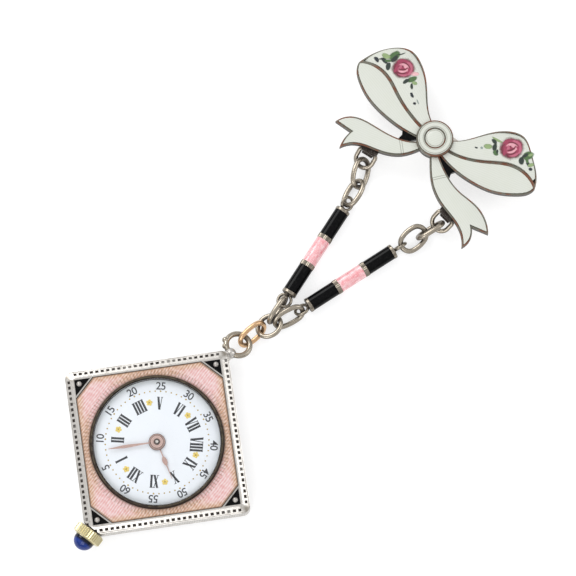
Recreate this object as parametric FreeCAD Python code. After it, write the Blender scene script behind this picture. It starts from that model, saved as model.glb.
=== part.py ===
import FreeCAD, Part
import math
import os

# Chatelaine watch pin: a square pendant watch hung by a short double chain from an enamelled bow.
# It lies on its back. Origin: centre of the watch's flat back. +Y runs to the bow, +Z is up, mm.

# Watch case and rim, as half widths of a square turned so that one corner points along +Y
CASE_HALF = 12.8
CASE_CORNER = 1.2
CASE_BACK_ROUND = 1.1
CASE_WALL = 0.8
CASE_FLOOR = 0.7
CASE_TOP = 4.2
CAVITY_CORNER = 15.2
CROWN_FLAT = 16.55
RIM_EDGE_TOP = 4.5
RIM_LAND_HALF = 11.75
RIM_IN_HALF = 11.5
RIM_TOP = 5.0
RIM_SEAT = 4.42
RIM_LEDGE = 0.5
RIM_CORNER_LINE = 14.15
MARK_COUNT = 27
MARK_PITCH = 0.86
MARK_LONG = 0.44
MARK_WIDE = 0.36
MARK_LINE = 12.28
MARK_FLOOR = 4.56

# Face: pink plate, black corner triangles with silver studs, dark ring, dial and crystal.
# GAP is left between neighbouring pieces; FAR is longer than any cut through them has to be
GAP = 0.05
FAR = 20.0
PLATE_HALF = RIM_IN_HALF - 2 * GAP
PLATE_CORNER_LINE = RIM_CORNER_LINE - 3 * GAP
PLATE_TOP = 4.97
TRIANGLE_BASE = 14.4
TRIANGLE_SETBACK = 0.2
TRIANGLE_FLOOR = 4.66
TRIANGLE_TOP = 5.0
STUD_AT = 15.1
STUD_R = 0.42
STUD_STEM_R = 0.3
APERTURE_R = 10.45
RING_OUT_R = 10.38
RING_IN_R = 9.85
RING_TOP = 5.6
RING_SHOULDER = 0.22
RING_CREST_HALF = 0.12
DIAL_R = 9.78
DIAL_BOTTOM = 3.98
DIAL_TOP = 4.6
MOVEMENT_R = 11.2
MOVEMENT_TOP = 3.9
CRYSTAL_EDGE_BOTTOM = 5.1
CRYSTAL_EDGE_TOP = 5.5
CRYSTAL_RISE = 0.85

# Hands, turned clockwise from twelve, which is nearest the crown; the dial is a little askew
DIAL_TURN = 3.3
MINUTE_ANGLE = 48.0
HOUR_ANGLE = 304.0
POST_R = 0.3
HAND_BORE_R = 0.35
HOUR_Z = 4.75
MINUTE_Z = 5.0
HAND_THICK = 0.13
HOUR_HUB_R = 1.3
MINUTE_HUB_R = 1.05
POST_OVER_HANDS = 0.2
# Distance from the centre and half width, from the hub to the tip
MINUTE_STATIONS = [(0.6, 0.09), (2.0, 0.11), (4.4, 0.23), (5.2, 0.23), (7.6, 0.03)]
HOUR_STATIONS = [(0.6, 0.08), (2.45, 0.08), (2.75, 0.3), (3.15, 0.38), (3.6, 0.3), (4.0, 0.08), (6.2, 0.03)]

# Winding stem and crown on the corner that points along -Y
STEM_Z = 2.9
STEM_R = 0.45
STEM_HOLE_R = 0.5
STEM_IN = -14.2
STEM_OUT = -17.75
CROWN_START = -16.75
CROWN_END = -18.3
CROWN_R = 2.33
CROWN_BEVEL = 0.25
CROWN_RIBS = 36
CROWN_RIB_DEPTH = 0.14
CROWN_LIP = 0.12
CROWN_CUP_R = 1.72
CROWN_BORE_END = -17.95
STONE_R = 1.62
STONE_BASE = -18.75
STONE_TIP = -20.25

# Neck and round ring on the corner that points along +Y
NECK_R = 0.8
NECK_HEAD_R = 0.86
NECK_START = 15.8
NECK_HEAD = (0.45, 18.2, 2.6)
BOW_RING = (0.5, 20.05, 2.1)
BOW_RING_R = 1.87
BOW_RING_WIRE = 0.86
BOW_RING_DROOP = 17.0
BEADS = [
    # angle round the ring, distance from its centre, radius
    (107, 2.12, 0.5),
    (136, 2.09, 0.44),
]

# Oval links: outer length and width, wire thickness, centre, and three turns in degrees:
# heading of the long axis, rise of its far end, and roll about it
LINK_END_ROUND = 0.92
LINKS = [
    # name, length, width, wire, x, y, z, heading, rise, roll
    ("link_gold", 5.4, 3.7, 0.80, 1.20, 22.80, 1.68, -102, 0, -59),
    ("link_common", 4.6, 4.0, 0.76, 2.55, 25.45, 1.52, -105, -3, 15),
    ("link_lower_left", 5.4, 3.7, 0.78, 2.08, 28.27, 1.86, -87, -1, -84),
    ("link_lower_right", 5.6, 3.7, 0.80, 4.15, 28.45, 1.60, -115, 0, -54),
    ("link_upper_left_1", 5.4, 3.8, 0.80, -0.60, 53.85, 1.60, -69, 0, -46),
    ("link_upper_left_2", 5.25, 3.8, 0.80, 0.40, 50.60, 1.50, -82, 0, 45),
    ("link_upper_right_1", 5.3, 3.8, 0.80, 13.75, 52.90, 1.85, -111, -3, 71),
    ("link_upper_right_2", 5.3, 3.85, 0.80, 12.35, 50.30, 1.35, -102, -6, -19),
]

# Jump rings under the ribbon ends: straight side in a tube, round side towards the chain
D_WIDTH = 2.9
D_HEIGHT = 2.75
D_WIRE = 0.7
D_CORNER = 0.45
TUBE_LENGTH = 1.8
TUBE_R = 0.65
TUBE_BORE_R = 0.46
TUBE_ARM = 1.5
TUBE_OVERLAP = 0.3
APRON_BOTTOM = 3.13
APRON_HALF = 1.5
APRON_OUT = 0.4
APRON_END_HALF = 1.1
D_RINGS = [
    # name, x, y, z of the straight side, heading, rise, roll
    ("ring_left", -1.5, 57.15, 2.7, -86, -28, 5),
    ("ring_right", 14.55, 56.05, 2.7, -100, -28, -5),
]

# Bars: upper and lower end of the silver core, and the roll of the eye at each end
BAR_Z = 1.27
BAR_BAND_R = 1.2
BAR_ENAMEL_R = 1.16
BAR_CORE_R = 0.8
BAR_CAP = 0.55
BAR_BLACK = 4.65
BAR_BAND = 0.7
BAR_PINK = 4.4
BAR_GROOVES = 28
BAR_GROOVE_DEPTH = 0.06
BAR_CAP_ROUND = 0.12
EYE_R = 1.05
EYE_WIRE = 0.48
EYE_AT = 1.15
EYE_NECK_WIDE_R = 0.75
EYE_NECK_THIN_R = 0.3
EYE_NECK_LONG = 0.26
BARS = [
    # name, upper x, upper y, lower x, lower y, roll of the upper eye, roll of the lower eye
    ("bar_left", 0.70, 47.50, 1.90, 31.40, 45, 10),
    ("bar_right", 11.00, 46.90, 5.40, 31.60, -75, 42),
]

# Bow brooch, in its own frame: centre of the knot, a little turned
BOW_AT = (5.85, 64.85)
BOW_TURN = -0.8
BOW_BACK = 3.4
BOW_POCKET = 3.95
BOW_RIM = 4.5
BOW_LINE = 0.22
EDGE_STEPS = 26
PANEL_CROWN_R = 9.0
KNOT_AT = (0.05, -0.25)
KNOT_R = 2.9
KNOT_RING_OUT = 2.68
KNOT_RING_IN = 1.72
KNOT_CENTRE_R = 1.48
KNOT_FLOOR = 5.05
KNOT_STEP = 0.35
KNOT_BEVEL = 0.12
KNOT_TOP = 5.62
WEB_TOP = 4.3
PIN_R = 0.45
PIN_Y = 2.3
PIN_REACH = 11.0
PIN_LINE = 0.9
PIN_BLOCK_LONG = 2.0
PIN_BLOCK_WIDE = 2.4


def vector(x, y, z=0.0):
    return FreeCAD.Vector(x, y, z)


def save(shape, name):
    """Writes one closed piece under its node's name."""
    solid = shape.removeSplitter() if len(shape.Faces) < 400 else shape
    if len(solid.Solids) == 1:
        solid = solid.Solids[0]
    if not solid.isValid() or len(solid.Solids) != 1:
        raise ValueError(name + " isn't one valid solid")
    solid.exportStep("parts/" + name + ".step")
    print(name, round(solid.Volume, 3), "mm3")
    return solid


def placed(shape, at, heading=0.0, rise=0.0, roll=0.0):
    """Turns a shape made along +X about its own axis, then up, then round, and moves it."""
    copy = shape.copy()
    copy.rotate(vector(0, 0), vector(1, 0), roll)
    copy.rotate(vector(0, 0), vector(0, 1), -rise)
    copy.rotate(vector(0, 0), vector(0, 0, 1), heading)
    copy.translate(vector(*at))
    return copy


def disc(radius, bottom, top, centre=(0.0, 0.0)):
    return Part.makeCylinder(radius, top - bottom, vector(centre[0], centre[1], bottom))


def quarter_turned(u, v, quarter):
    turn = math.radians(90 * quarter)
    return u * math.cos(turn) - v * math.sin(turn), u * math.sin(turn) + v * math.cos(turn)


def rounded_square(half, corner, z):
    """Wire of a square with quarter-circle corners, corners pointing along X and Y."""
    edges = []
    run = half - corner
    middle = run + corner * math.sqrt(0.5)
    for quarter in range(4):
        start = vector(*quarter_turned(half, -run, quarter), z)
        bend = vector(*quarter_turned(half, run, quarter), z)
        mid = vector(*quarter_turned(middle, middle, quarter), z)
        end = vector(*quarter_turned(run, half, quarter), z)
        edges.append(Part.LineSegment(start, bend).toShape())
        edges.append(Part.Arc(bend, mid, end).toShape())
    wire = Part.Wire(edges)
    wire.rotate(vector(0, 0), vector(0, 0, 1), 45)
    return wire


def square_block(half, corner, bottom, top):
    return Part.Face(rounded_square(half, corner, bottom)).extrude(vector(0, 0, top - bottom))


def flat_block(points, bottom, top):
    """Upright block over a closed list of (x, y) corners."""
    corners = [vector(x, y, bottom) for x, y in points]
    return Part.Face(Part.makePolygon(corners + [corners[0]])).extrude(vector(0, 0, top - bottom))


def eight_sided(half, corner_line, bottom, top):
    """Square block whose four corners, on the X and Y axes, are cut off at corner_line."""
    reach = half * math.sqrt(2) - corner_line
    points = []
    for quarter in range(4):
        points.append(quarter_turned(corner_line, -reach, quarter))
        points.append(quarter_turned(corner_line, reach, quarter))
    return flat_block(points, bottom, top)


def past_crown_flat():
    """Everything beyond the flat that the crown turns against."""
    return Part.makeBox(2 * FAR, FAR, 2 * FAR, vector(-FAR, -CROWN_FLAT - FAR, -FAR))


def revolved(profile, axis=(0, 0, 1)):
    """Solid of revolution about an axis through the origin from a closed list of points."""
    face = Part.Face(Part.makePolygon(profile + [profile[0]]))
    return face.revolve(vector(0, 0), vector(*axis), 360)


def case():
    body = square_block(CASE_HALF, CASE_CORNER, 0.0, CASE_TOP)
    low_edges = [edge for edge in body.Edges if edge.BoundBox.ZMax < 0.01]
    body = body.makeFillet(CASE_BACK_ROUND, low_edges)
    cavity = eight_sided(CASE_HALF - CASE_WALL, CAVITY_CORNER, CASE_FLOOR, CASE_TOP + 1)
    body = body.cut(cavity)
    body = body.cut(past_crown_flat())
    hole = Part.makeCylinder(STEM_HOLE_R, 4, vector(0, -CROWN_FLAT - 1, STEM_Z), vector(0, 1))
    body = body.cut(hole)
    x, y, z = NECK_HEAD
    length = y - NECK_HEAD_R / 3 - NECK_START
    neck = Part.makeCylinder(NECK_R, length, vector(x / 2, NECK_START, z), vector(0, 1))
    head = Part.makeSphere(NECK_HEAD_R, vector(x, y, z))
    body = body.fuse([neck, head])
    passage = Part.makeTorus(BOW_RING_R, BOW_RING_WIRE / 2 + 2 * GAP)
    return body.cut(placed(passage, BOW_RING, 90, -BOW_RING_DROOP))


def watch_bow():
    ring = Part.makeTorus(BOW_RING_R, BOW_RING_WIRE / 2)
    for angle, reach, radius in BEADS:
        turn = math.radians(angle)
        ring = ring.fuse(Part.makeSphere(radius, vector(reach * math.cos(turn), reach * math.sin(turn))))
    return placed(ring, BOW_RING, 90, -BOW_RING_DROOP)


def bezel():
    base = square_block(CASE_HALF, CASE_CORNER, CASE_TOP + GAP, RIM_EDGE_TOP)
    low = rounded_square(CASE_HALF, CASE_CORNER, RIM_EDGE_TOP)
    high = rounded_square(RIM_LAND_HALF, CASE_CORNER / 2, RIM_TOP)
    body = base.fuse(Part.makeLoft([low, high], True, True))
    body = body.cut(eight_sided(RIM_IN_HALF, RIM_CORNER_LINE, RIM_SEAT, RIM_TOP + 1))
    body = body.cut(eight_sided(RIM_IN_HALF - RIM_LEDGE, RIM_CORNER_LINE - RIM_LEDGE, 0, RIM_TOP))
    body = body.cut(past_crown_flat())
    marks = []
    for side in range(4):
        for step in range(MARK_COUNT):
            along = (step - (MARK_COUNT - 1) / 2) * MARK_PITCH
            corner = vector(along - MARK_LONG / 2, MARK_LINE - MARK_WIDE / 2, MARK_FLOOR)
            mark = Part.makeBox(MARK_LONG, MARK_WIDE, 1, corner)
            mark.rotate(vector(0, 0), vector(0, 0, 1), 45 + 90 * side)
            marks.append(mark)
    body = body.cut(Part.makeCompound(marks))
    for quarter in range(4):
        turn = 90 * quarter
        pocket = corner_triangle(TRIANGLE_FLOOR - GAP, RIM_TOP + 1, GAP)
        pocket.rotate(vector(0, 0), vector(0, 0, 1), turn)
        stud = disc(STUD_STEM_R, TRIANGLE_FLOOR - 4 * GAP, TRIANGLE_TOP + 2 * GAP, (STUD_AT, 0))
        dome = Part.makeSphere(STUD_R, vector(STUD_AT, 0, TRIANGLE_TOP + GAP))
        dome = dome.common(disc(1, TRIANGLE_TOP + GAP, FAR, (STUD_AT, 0)))
        stud = stud.fuse(dome)
        stud.rotate(vector(0, 0), vector(0, 0, 1), turn)
        body = body.cut(pocket).fuse(stud)
    return body


def corner_triangle(bottom, top, grow=0.0):
    """Right-angled triangle in the rim's corner on the +X axis."""
    apex = RIM_IN_HALF * math.sqrt(2) - TRIANGLE_SETBACK + grow * math.sqrt(2)
    base = TRIANGLE_BASE - grow
    reach = apex - base
    return flat_block([(base, -reach), (apex, 0), (base, reach)], bottom, top)


def corner_enamel(quarter):
    body = corner_triangle(TRIANGLE_FLOOR, TRIANGLE_TOP)
    body = body.cut(disc(STUD_STEM_R + GAP, 0, FAR, (STUD_AT, 0)))
    body.rotate(vector(0, 0), vector(0, 0, 1), 90 * quarter)
    return body


def face_plate():
    body = eight_sided(PLATE_HALF, PLATE_CORNER_LINE, RIM_SEAT + GAP, PLATE_TOP)
    return body.cut(disc(APERTURE_R, 0, FAR))


def crystal_ring():
    middle = (RING_IN_R + RING_OUT_R) / 2
    shoulder = RING_TOP - RING_SHOULDER
    bottom = MOVEMENT_TOP + GAP
    profile = [vector(RING_IN_R, 0, bottom), vector(RING_OUT_R, 0, bottom), vector(RING_OUT_R, 0, shoulder),
               vector(middle + RING_CREST_HALF, 0, RING_TOP), vector(middle - RING_CREST_HALF, 0, RING_TOP),
               vector(RING_IN_R, 0, shoulder)]
    return revolved(profile)


def dial():
    body = disc(DIAL_R, DIAL_BOTTOM, DIAL_TOP)
    return body.cut(disc(POST_R + GAP, 0, FAR))


def crystal():
    """Domed glass of even thickness, with a flat edge inside the dark ring."""
    edge = RING_IN_R - GAP
    caps = []
    for z in (CRYSTAL_EDGE_BOTTOM, CRYSTAL_EDGE_TOP):
        radius = (edge ** 2 + CRYSTAL_RISE ** 2) / (2 * CRYSTAL_RISE)
        caps.append(Part.makeSphere(radius, vector(0, 0, z + CRYSTAL_RISE - radius)))
    outer = caps[1].common(disc(edge, CRYSTAL_EDGE_TOP, FAR))
    rim = disc(edge, CRYSTAL_EDGE_BOTTOM, CRYSTAL_EDGE_TOP)
    hollow = caps[0].common(disc(edge, CRYSTAL_EDGE_BOTTOM, FAR))
    return rim.fuse(outer).cut(hollow)


def movement():
    body = disc(MOVEMENT_R, CASE_FLOOR + GAP, MOVEMENT_TOP)
    return body.fuse(disc(POST_R, MOVEMENT_TOP, MINUTE_Z + HAND_THICK + POST_OVER_HANDS))


def hand(stations, hub_radius, z, angle):
    """Flat hand along -Y, turned to its place on the dial."""
    left = [(-half, -reach) for reach, half in stations]
    right = [(half, -reach) for reach, half in reversed(stations)]
    body = flat_block(left + right, z, z + HAND_THICK)
    body = body.fuse(disc(hub_radius, z, z + HAND_THICK))
    body = body.cut(disc(HAND_BORE_R, 0, FAR))
    body.rotate(vector(0, 0), vector(0, 0, 1), DIAL_TURN - angle)
    return body


def minute_hand():
    return hand(MINUTE_STATIONS, MINUTE_HUB_R, MINUTE_Z, MINUTE_ANGLE)


def hour_hand():
    return hand(HOUR_STATIONS, HOUR_HUB_R, HOUR_Z, HOUR_ANGLE)


def along_y(radius, start, end, z=STEM_Z):
    return Part.makeCylinder(radius, abs(end - start), vector(0, min(start, end), z), vector(0, 1))


def stem():
    return along_y(STEM_R, STEM_IN, STEM_OUT)


def crown_collar():
    """Ribbed drum with bevelled ends, a shallow lip under the stone and a bore for the stem."""
    points = []
    for step in range(2 * CROWN_RIBS):
        turn = math.pi * step / CROWN_RIBS
        radius = CROWN_R - (CROWN_RIB_DEPTH if step % 2 else 0.0)
        points.append(vector(radius * math.cos(turn), CROWN_END, STEM_Z + radius * math.sin(turn)))
    drum = Part.Face(Part.makePolygon(points + [points[0]])).extrude(vector(0, CROWN_START - CROWN_END))
    full = CROWN_R + GAP
    narrow = CROWN_R - CROWN_BEVEL
    profile = [vector(0, CROWN_START), vector(narrow, CROWN_START), vector(full, CROWN_START - CROWN_BEVEL),
               vector(full, CROWN_END + CROWN_BEVEL), vector(narrow, CROWN_END), vector(0, CROWN_END)]
    bevelled = revolved(profile, (0, 1, 0))
    bevelled.translate(vector(0, 0, STEM_Z))
    lip = along_y(CROWN_CUP_R, CROWN_END + CROWN_LIP, CROWN_END - CROWN_LIP)
    return drum.common(bevelled).fuse(lip).cut(along_y(STEM_HOLE_R, CROWN_START + 1, CROWN_BORE_END))


def cabochon():
    """Short round girdle under a domed cap."""
    base = along_y(STONE_R, CROWN_END - CROWN_LIP - GAP, STONE_BASE)
    rise = STONE_BASE - STONE_TIP
    radius = (STONE_R ** 2 + rise ** 2) / (2 * rise)
    ball = Part.makeSphere(radius, vector(0, STONE_TIP + radius, STEM_Z))
    return base.fuse(ball.common(along_y(STONE_R + 1, STONE_BASE, STONE_TIP - 1)))


def oval_path(length, width):
    """Closed centreline in the XY plane: two end arcs and two side arcs, all tangent."""
    a = length / 2
    b = width / 2
    small = LINK_END_ROUND * b
    large = ((a - small) ** 2 + b * b - small * small) / (2 * (b - small))
    half_turn = math.atan2(a - small, large - b)
    x = large * math.sin(half_turn)
    y = b - large + large * math.cos(half_turn)
    corners = [vector(-x, y), vector(x, y), vector(x, -y), vector(-x, -y)]
    middles = [vector(0, b), vector(a, 0), vector(0, -b), vector(-a, 0)]
    edges = []
    for index in range(4):
        edges.append(Part.Arc(corners[index], middles[index], corners[(index + 1) % 4]).toShape())
    return Part.Wire(edges)


def wire_along(path, thickness):
    """Round wire carried round a closed path."""
    edge = path.Edges[0]
    start = edge.valueAt(edge.FirstParameter)
    profile = Part.Wire(Part.makeCircle(thickness / 2, start, edge.tangentAt(edge.FirstParameter)))
    return path.makePipeShell([profile], True, True)


def link(row):
    name, length, width, wire, x, y, z, heading, rise, roll = row
    body = wire_along(oval_path(length - wire, width - wire), wire)
    return placed(body, (x, y, z), heading, rise, roll)


def d_ring_path():
    """Closed path: a straight side along Y at x = 0, two small corners and one half circle."""
    half = D_WIDTH / 2
    c = D_CORNER
    far = D_HEIGHT - half
    slant = c * (1 - math.sqrt(0.5))
    edges = [
        Part.LineSegment(vector(0, -half + c), vector(0, half - c)).toShape(),
        Part.Arc(vector(0, half - c), vector(slant, half - slant), vector(c, half)).toShape(),
        Part.LineSegment(vector(c, half), vector(far, half)).toShape(),
        Part.Arc(vector(far, half), vector(D_HEIGHT, 0), vector(far, -half)).toShape(),
        Part.LineSegment(vector(far, -half), vector(c, -half)).toShape(),
        Part.Arc(vector(c, -half), vector(slant, -half + slant), vector(0, -half + c)).toShape(),
    ]
    return Part.Wire(edges)


def d_ring(row):
    name, x, y, z, heading, rise, roll = row
    return placed(wire_along(d_ring_path(), D_WIRE), (x, y, z), heading, rise, roll)


def bar_sections():
    """Where each section of a bar starts and ends, from its upper end."""
    sections = {}
    at = 0.0
    for name, length in (("cap_upper", BAR_CAP), ("black_upper", BAR_BLACK), ("band_upper", BAR_BAND),
                         ("pink", BAR_PINK), ("band_lower", BAR_BAND), ("black_lower", BAR_BLACK),
                         ("cap_lower", BAR_CAP)):
        sections[name] = (at, at + length)
        at += length
    return sections


def bar_place(row):
    name, x0, y0, x1, y1, roll_upper, roll_lower = row
    heading = math.degrees(math.atan2(y1 - y0, x1 - x0))
    return (x0, y0, BAR_Z), heading


def ring_section(radius, start, end):
    return Part.makeCylinder(radius, end - start, vector(start, 0), vector(1, 0))


def milled_band(start, end):
    """Band with shallow grooves along the bar, as milling leaves them."""
    points = []
    for step in range(2 * BAR_GROOVES):
        turn = math.pi * step / BAR_GROOVES
        radius = BAR_BAND_R - (BAR_GROOVE_DEPTH if step % 2 else 0.0)
        points.append(vector(start, radius * math.cos(turn), radius * math.sin(turn)))
    return Part.Face(Part.makePolygon(points + [points[0]])).extrude(vector(end - start, 0))


def bar_core(row):
    sections = bar_sections()
    length = sections["cap_lower"][1]
    body = ring_section(BAR_CORE_R, 0, length)
    for name in ("cap_upper", "cap_lower"):
        start, end = sections[name]
        cap = ring_section(BAR_BAND_R, start, end)
        body = body.fuse(cap.makeFillet(BAR_CAP_ROUND, cap.Edges))
    for name in ("band_upper", "band_lower"):
        body = body.fuse(milled_band(*sections[name]))
    for end, way, roll in ((0, -1, row[5]), (length, 1, row[6])):
        eye = Part.makeTorus(EYE_R, EYE_WIRE / 2)
        eye.rotate(vector(0, 0), vector(1, 0), -roll if way < 0 else roll)
        eye.translate(vector(end + way * EYE_AT, 0))
        neck = Part.makeCone(EYE_NECK_WIDE_R, EYE_NECK_THIN_R, EYE_NECK_LONG, vector(end, 0), vector(way, 0))
        body = body.fuse([eye, neck])
    at, heading = bar_place(row)
    return placed(body, at, heading)


def bar_sleeve(row, section):
    start, end = bar_sections()[section]
    body = ring_section(BAR_ENAMEL_R, start + GAP / 2, end - GAP / 2)
    body = body.cut(ring_section(BAR_CORE_R + GAP, start - 1, end + 1))
    at, heading = bar_place(row)
    return placed(body, at, heading)


# Edges of the bow's ribbons in the brooch's own frame, from the knot outwards
LOBE_EDGES = {
    "right": {
        "top": [(1.6, 0.9), (3.5, 2.2), (6.0, 5.5), (8.6, 8.0), (10.8, 8.7), (13.8, 7.0), (16.6, 4.4),
                (17.35, 2.9)],
        "fold": [(1.6, -0.45), (5.0, -0.1), (9.0, 1.9), (12.5, 3.8), (15.0, 3.9), (17.35, 2.9)],
        "low": [(1.6, -1.6), (4.5, -2.3), (9.0, -2.3), (12.5, -1.5), (15.6, 0.3), (17.1, 1.9), (17.35, 2.9)],
    },
    "left": {
        "top": [(-1.6, 1.6), (-3.5, 2.9), (-6.5, 6.35), (-9.05, 8.4), (-11.6, 9.15), (-14.6, 7.4),
                (-16.65, 4.0), (-17.1, 2.6)],
        "fold": [(-1.6, -0.1), (-5.0, 0.5), (-9.0, 2.0), (-12.0, 3.4), (-14.6, 3.65), (-17.1, 2.6)],
        "low": [(-1.6, -1.5), (-4.5, -2.0), (-9.0, -1.95), (-12.3, -1.3), (-15.2, 0.1), (-16.8, 1.6),
                (-17.1, 2.6)],
    },
}
TAIL_EDGES = {
    "right": {
        "upper": [(1.4, -1.3), (4.5, -3.4), (8.0, -4.6), (11.8, -4.85), (14.2, -5.8), (15.9, -7.4)],
        "notch": [(13.2, -8.1)],
        "point": [(13.2, -8.1), (14.2, -9.9), (13.9, -11.7)],
        "lower": [(13.9, -11.7), (10.5, -9.0), (7.0, -8.0), (4.0, -6.3), (1.9, -4.0), (0.7, -2.4)],
    },
    "left": {
        "upper": [(-1.4, -1.6), (-4.5, -3.55), (-8.0, -4.15), (-12.1, -4.9), (-14.2, -7.4)],
        "notch": [(-11.25, -7.3)],
        "point": [(-11.25, -7.3), (-11.4, -8.8), (-11.1, -10.4)],
        "lower": [(-11.1, -10.4), (-8.8, -8.1), (-5.5, -7.1), (-2.5, -5.4), (-1.2, -3.7), (-0.5, -2.4)],
    },
}
WEBS = {
    "right": [(2.0, -1.7), (5.75, -2.35), (5.35, -3.0), (5.6, -3.75), (3.2, -2.9)],
    "left": [(-2.0, -1.6), (-4.95, -2.05), (-4.55, -2.7), (-4.65, -3.5), (-2.9, -2.7)],
}


def curve(points, z=0.0):
    line = Part.BSplineCurve()
    line.interpolate([vector(x, y, z) for x, y in points])
    return line.toShape()


def outline(runs):
    """Closed wire of smooth curves; a run of two points is a straight line."""
    edges = []
    for run in runs:
        if len(run) == 2:
            edges.append(Part.LineSegment(vector(*run[0]), vector(*run[1])).toShape())
        else:
            edges.append(curve(run))
    return Part.Wire(Part.__sortEdges__(edges))


def lobe_runs(side, upper, lower):
    """The runs round one lobe, or one panel of it, nose to tail."""
    top = LOBE_EDGES[side][upper]
    low = LOBE_EDGES[side][lower]
    return [top, low[::-1], [low[0], top[0]]]


def tail_runs(side):
    edges = TAIL_EDGES[side]
    upper = edges["upper"]
    lower = edges["lower"]
    return [upper, [upper[-1], edges["notch"][0]], edges["point"], lower, [lower[-1], upper[0]]]


def prism(wire, bottom, top):
    body = Part.Face(wire).extrude(vector(0, 0, top - bottom))
    body.translate(vector(0, 0, bottom))
    return body


def inner(runs, distance):
    """The same outline set in all round by a distance (or out, below 0), as a fine polygon."""
    points = []
    for run in runs:
        if len(run) == 2:
            points.append(vector(*run[0]))
        else:
            points.extend(curve(run).discretize(EDGE_STEPS)[:-1])
    count = len(points)
    area = sum(points[i - 1].x * points[i].y - points[i].x * points[i - 1].y for i in range(count))
    way = 1 if area > 0 else -1
    inset = []
    for index in range(count):
        before = (points[index] - points[index - 1]).normalize()
        after = (points[(index + 1) % count] - points[index]).normalize()
        normal_before = vector(-before.y, before.x)
        normal_after = vector(-after.y, after.x)
        mitre = normal_before + normal_after
        mitre = mitre * (2 * way * distance / mitre.dot(mitre))
        inset.append(points[index] + mitre)
    edge = Part.makePolygon(points + [points[0]])
    clear = [point for point in inset if edge.distToShape(Part.Vertex(point))[0] > 0.999 * distance]
    return Part.makePolygon(clear + [clear[0]])


def bow_placed(shape):
    copy = shape.copy()
    copy.rotate(vector(0, 0), vector(0, 0, 1), BOW_TURN)
    copy.translate(vector(*BOW_AT))
    return copy


# Enamel panels: outline, a point on the crown line, its heading and its height above the rim
PANELS = {
    "lobe_right_top": (lobe_runs("right", "top", "fold"), (10.0, 4.4), 24, 0.55),
    "lobe_right_front": (lobe_runs("right", "fold", "low"), (10.0, 0.6), 14, 0.35),
    "lobe_left_top": (lobe_runs("left", "top", "fold"), (-10.0, 4.6), -24, 0.55),
    "lobe_left_front": (lobe_runs("left", "fold", "low"), (-10.0, 0.6), -14, 0.35),
    "tail_right": (tail_runs("right"), (8.0, -6.4), -19, 0.35),
    "tail_left": (tail_runs("left"), (-7.0, -6.0), 14, 0.35),
}


def panel(name):
    """Crowned enamel panel: its outline's prism under a cylinder that lies along the ribbon."""
    runs, at, heading, rise = PANELS[name]
    body = prism(inner(runs, BOW_LINE + GAP), BOW_POCKET + GAP, FAR)
    crown = Part.makeCylinder(PANEL_CROWN_R, 2 * FAR, vector(-FAR, 0), vector(1, 0))
    crown = placed(crown, (at[0], at[1], BOW_RIM + rise - PANEL_CROWN_R), heading, 0, 90)
    return bow_placed(body.common(crown).cut(disc(KNOT_R + GAP, 0, FAR, KNOT_AT)))


def web(side):
    """Black enamel between a lobe, a tail and the knot, clear of all three."""
    body = flat_block(WEBS[side], BOW_POCKET + GAP, WEB_TOP)
    body = body.cut(disc(KNOT_R + GAP, 0, FAR, KNOT_AT))
    for runs in (lobe_runs(side, "top", "low"), tail_runs(side)):
        body = body.cut(prism(inner(runs, -GAP), BOW_POCKET - 1, BOW_RIM + 1))
    return bow_placed(max(body.Solids, key=lambda solid: solid.Volume))


def bow_plate():
    parts = []
    for side in ("right", "left"):
        parts.append(prism(outline(lobe_runs(side, "top", "low")), BOW_BACK, BOW_RIM))
        parts.append(prism(outline(tail_runs(side)), BOW_BACK, BOW_RIM))
        parts.append(flat_block(WEBS[side], BOW_BACK, BOW_POCKET))
    body = disc(KNOT_R, BOW_BACK, BOW_RIM, KNOT_AT).fuse(parts)
    for name in PANELS:
        body = body.cut(prism(inner(PANELS[name][0], BOW_LINE), BOW_POCKET, BOW_RIM + 1))
    collar = disc(KNOT_R, BOW_BACK, KNOT_FLOOR + KNOT_STEP, KNOT_AT)
    collar = collar.cut(disc(KNOT_RING_OUT + GAP, KNOT_FLOOR, FAR, KNOT_AT))
    groove = disc(KNOT_RING_IN - GAP, BOW_BACK, KNOT_FLOOR + KNOT_STEP - GAP, KNOT_AT)
    groove = groove.cut(disc(KNOT_CENTRE_R + GAP, KNOT_FLOOR, FAR, KNOT_AT))
    body = body.fuse([collar, groove])
    body = bow_placed(body)
    for row in D_RINGS:
        name, x, y, z, heading, rise, roll = row
        tube = Part.makeCylinder(TUBE_R, TUBE_LENGTH, vector(0, -TUBE_LENGTH / 2), vector(0, 1))
        corner = vector(-TUBE_ARM, -TUBE_LENGTH / 2, 0)
        arm = Part.makeBox(TUBE_ARM, TUBE_LENGTH, BOW_BACK + TUBE_OVERLAP - z, corner)
        loop = tube.fuse([arm, apron(z)])
        bore = Part.makeCylinder(TUBE_BORE_R, 2 * TUBE_LENGTH, vector(0, -TUBE_LENGTH), vector(0, 1))
        body = body.fuse(placed(loop, (x, y, z), heading)).cut(placed(bore, (x, y, z), heading))
    return body


def apron(level):
    """Flat tapered plate over a jump ring's straight side, which hides its tube from above."""
    one_side = [(-TUBE_ARM, APRON_HALF), (0.0, APRON_HALF), (APRON_OUT, APRON_END_HALF)]
    other_side = [(x, -y) for x, y in reversed(one_side)]
    return flat_block(one_side + other_side, APRON_BOTTOM - level, BOW_BACK + TUBE_OVERLAP - level)


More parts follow.
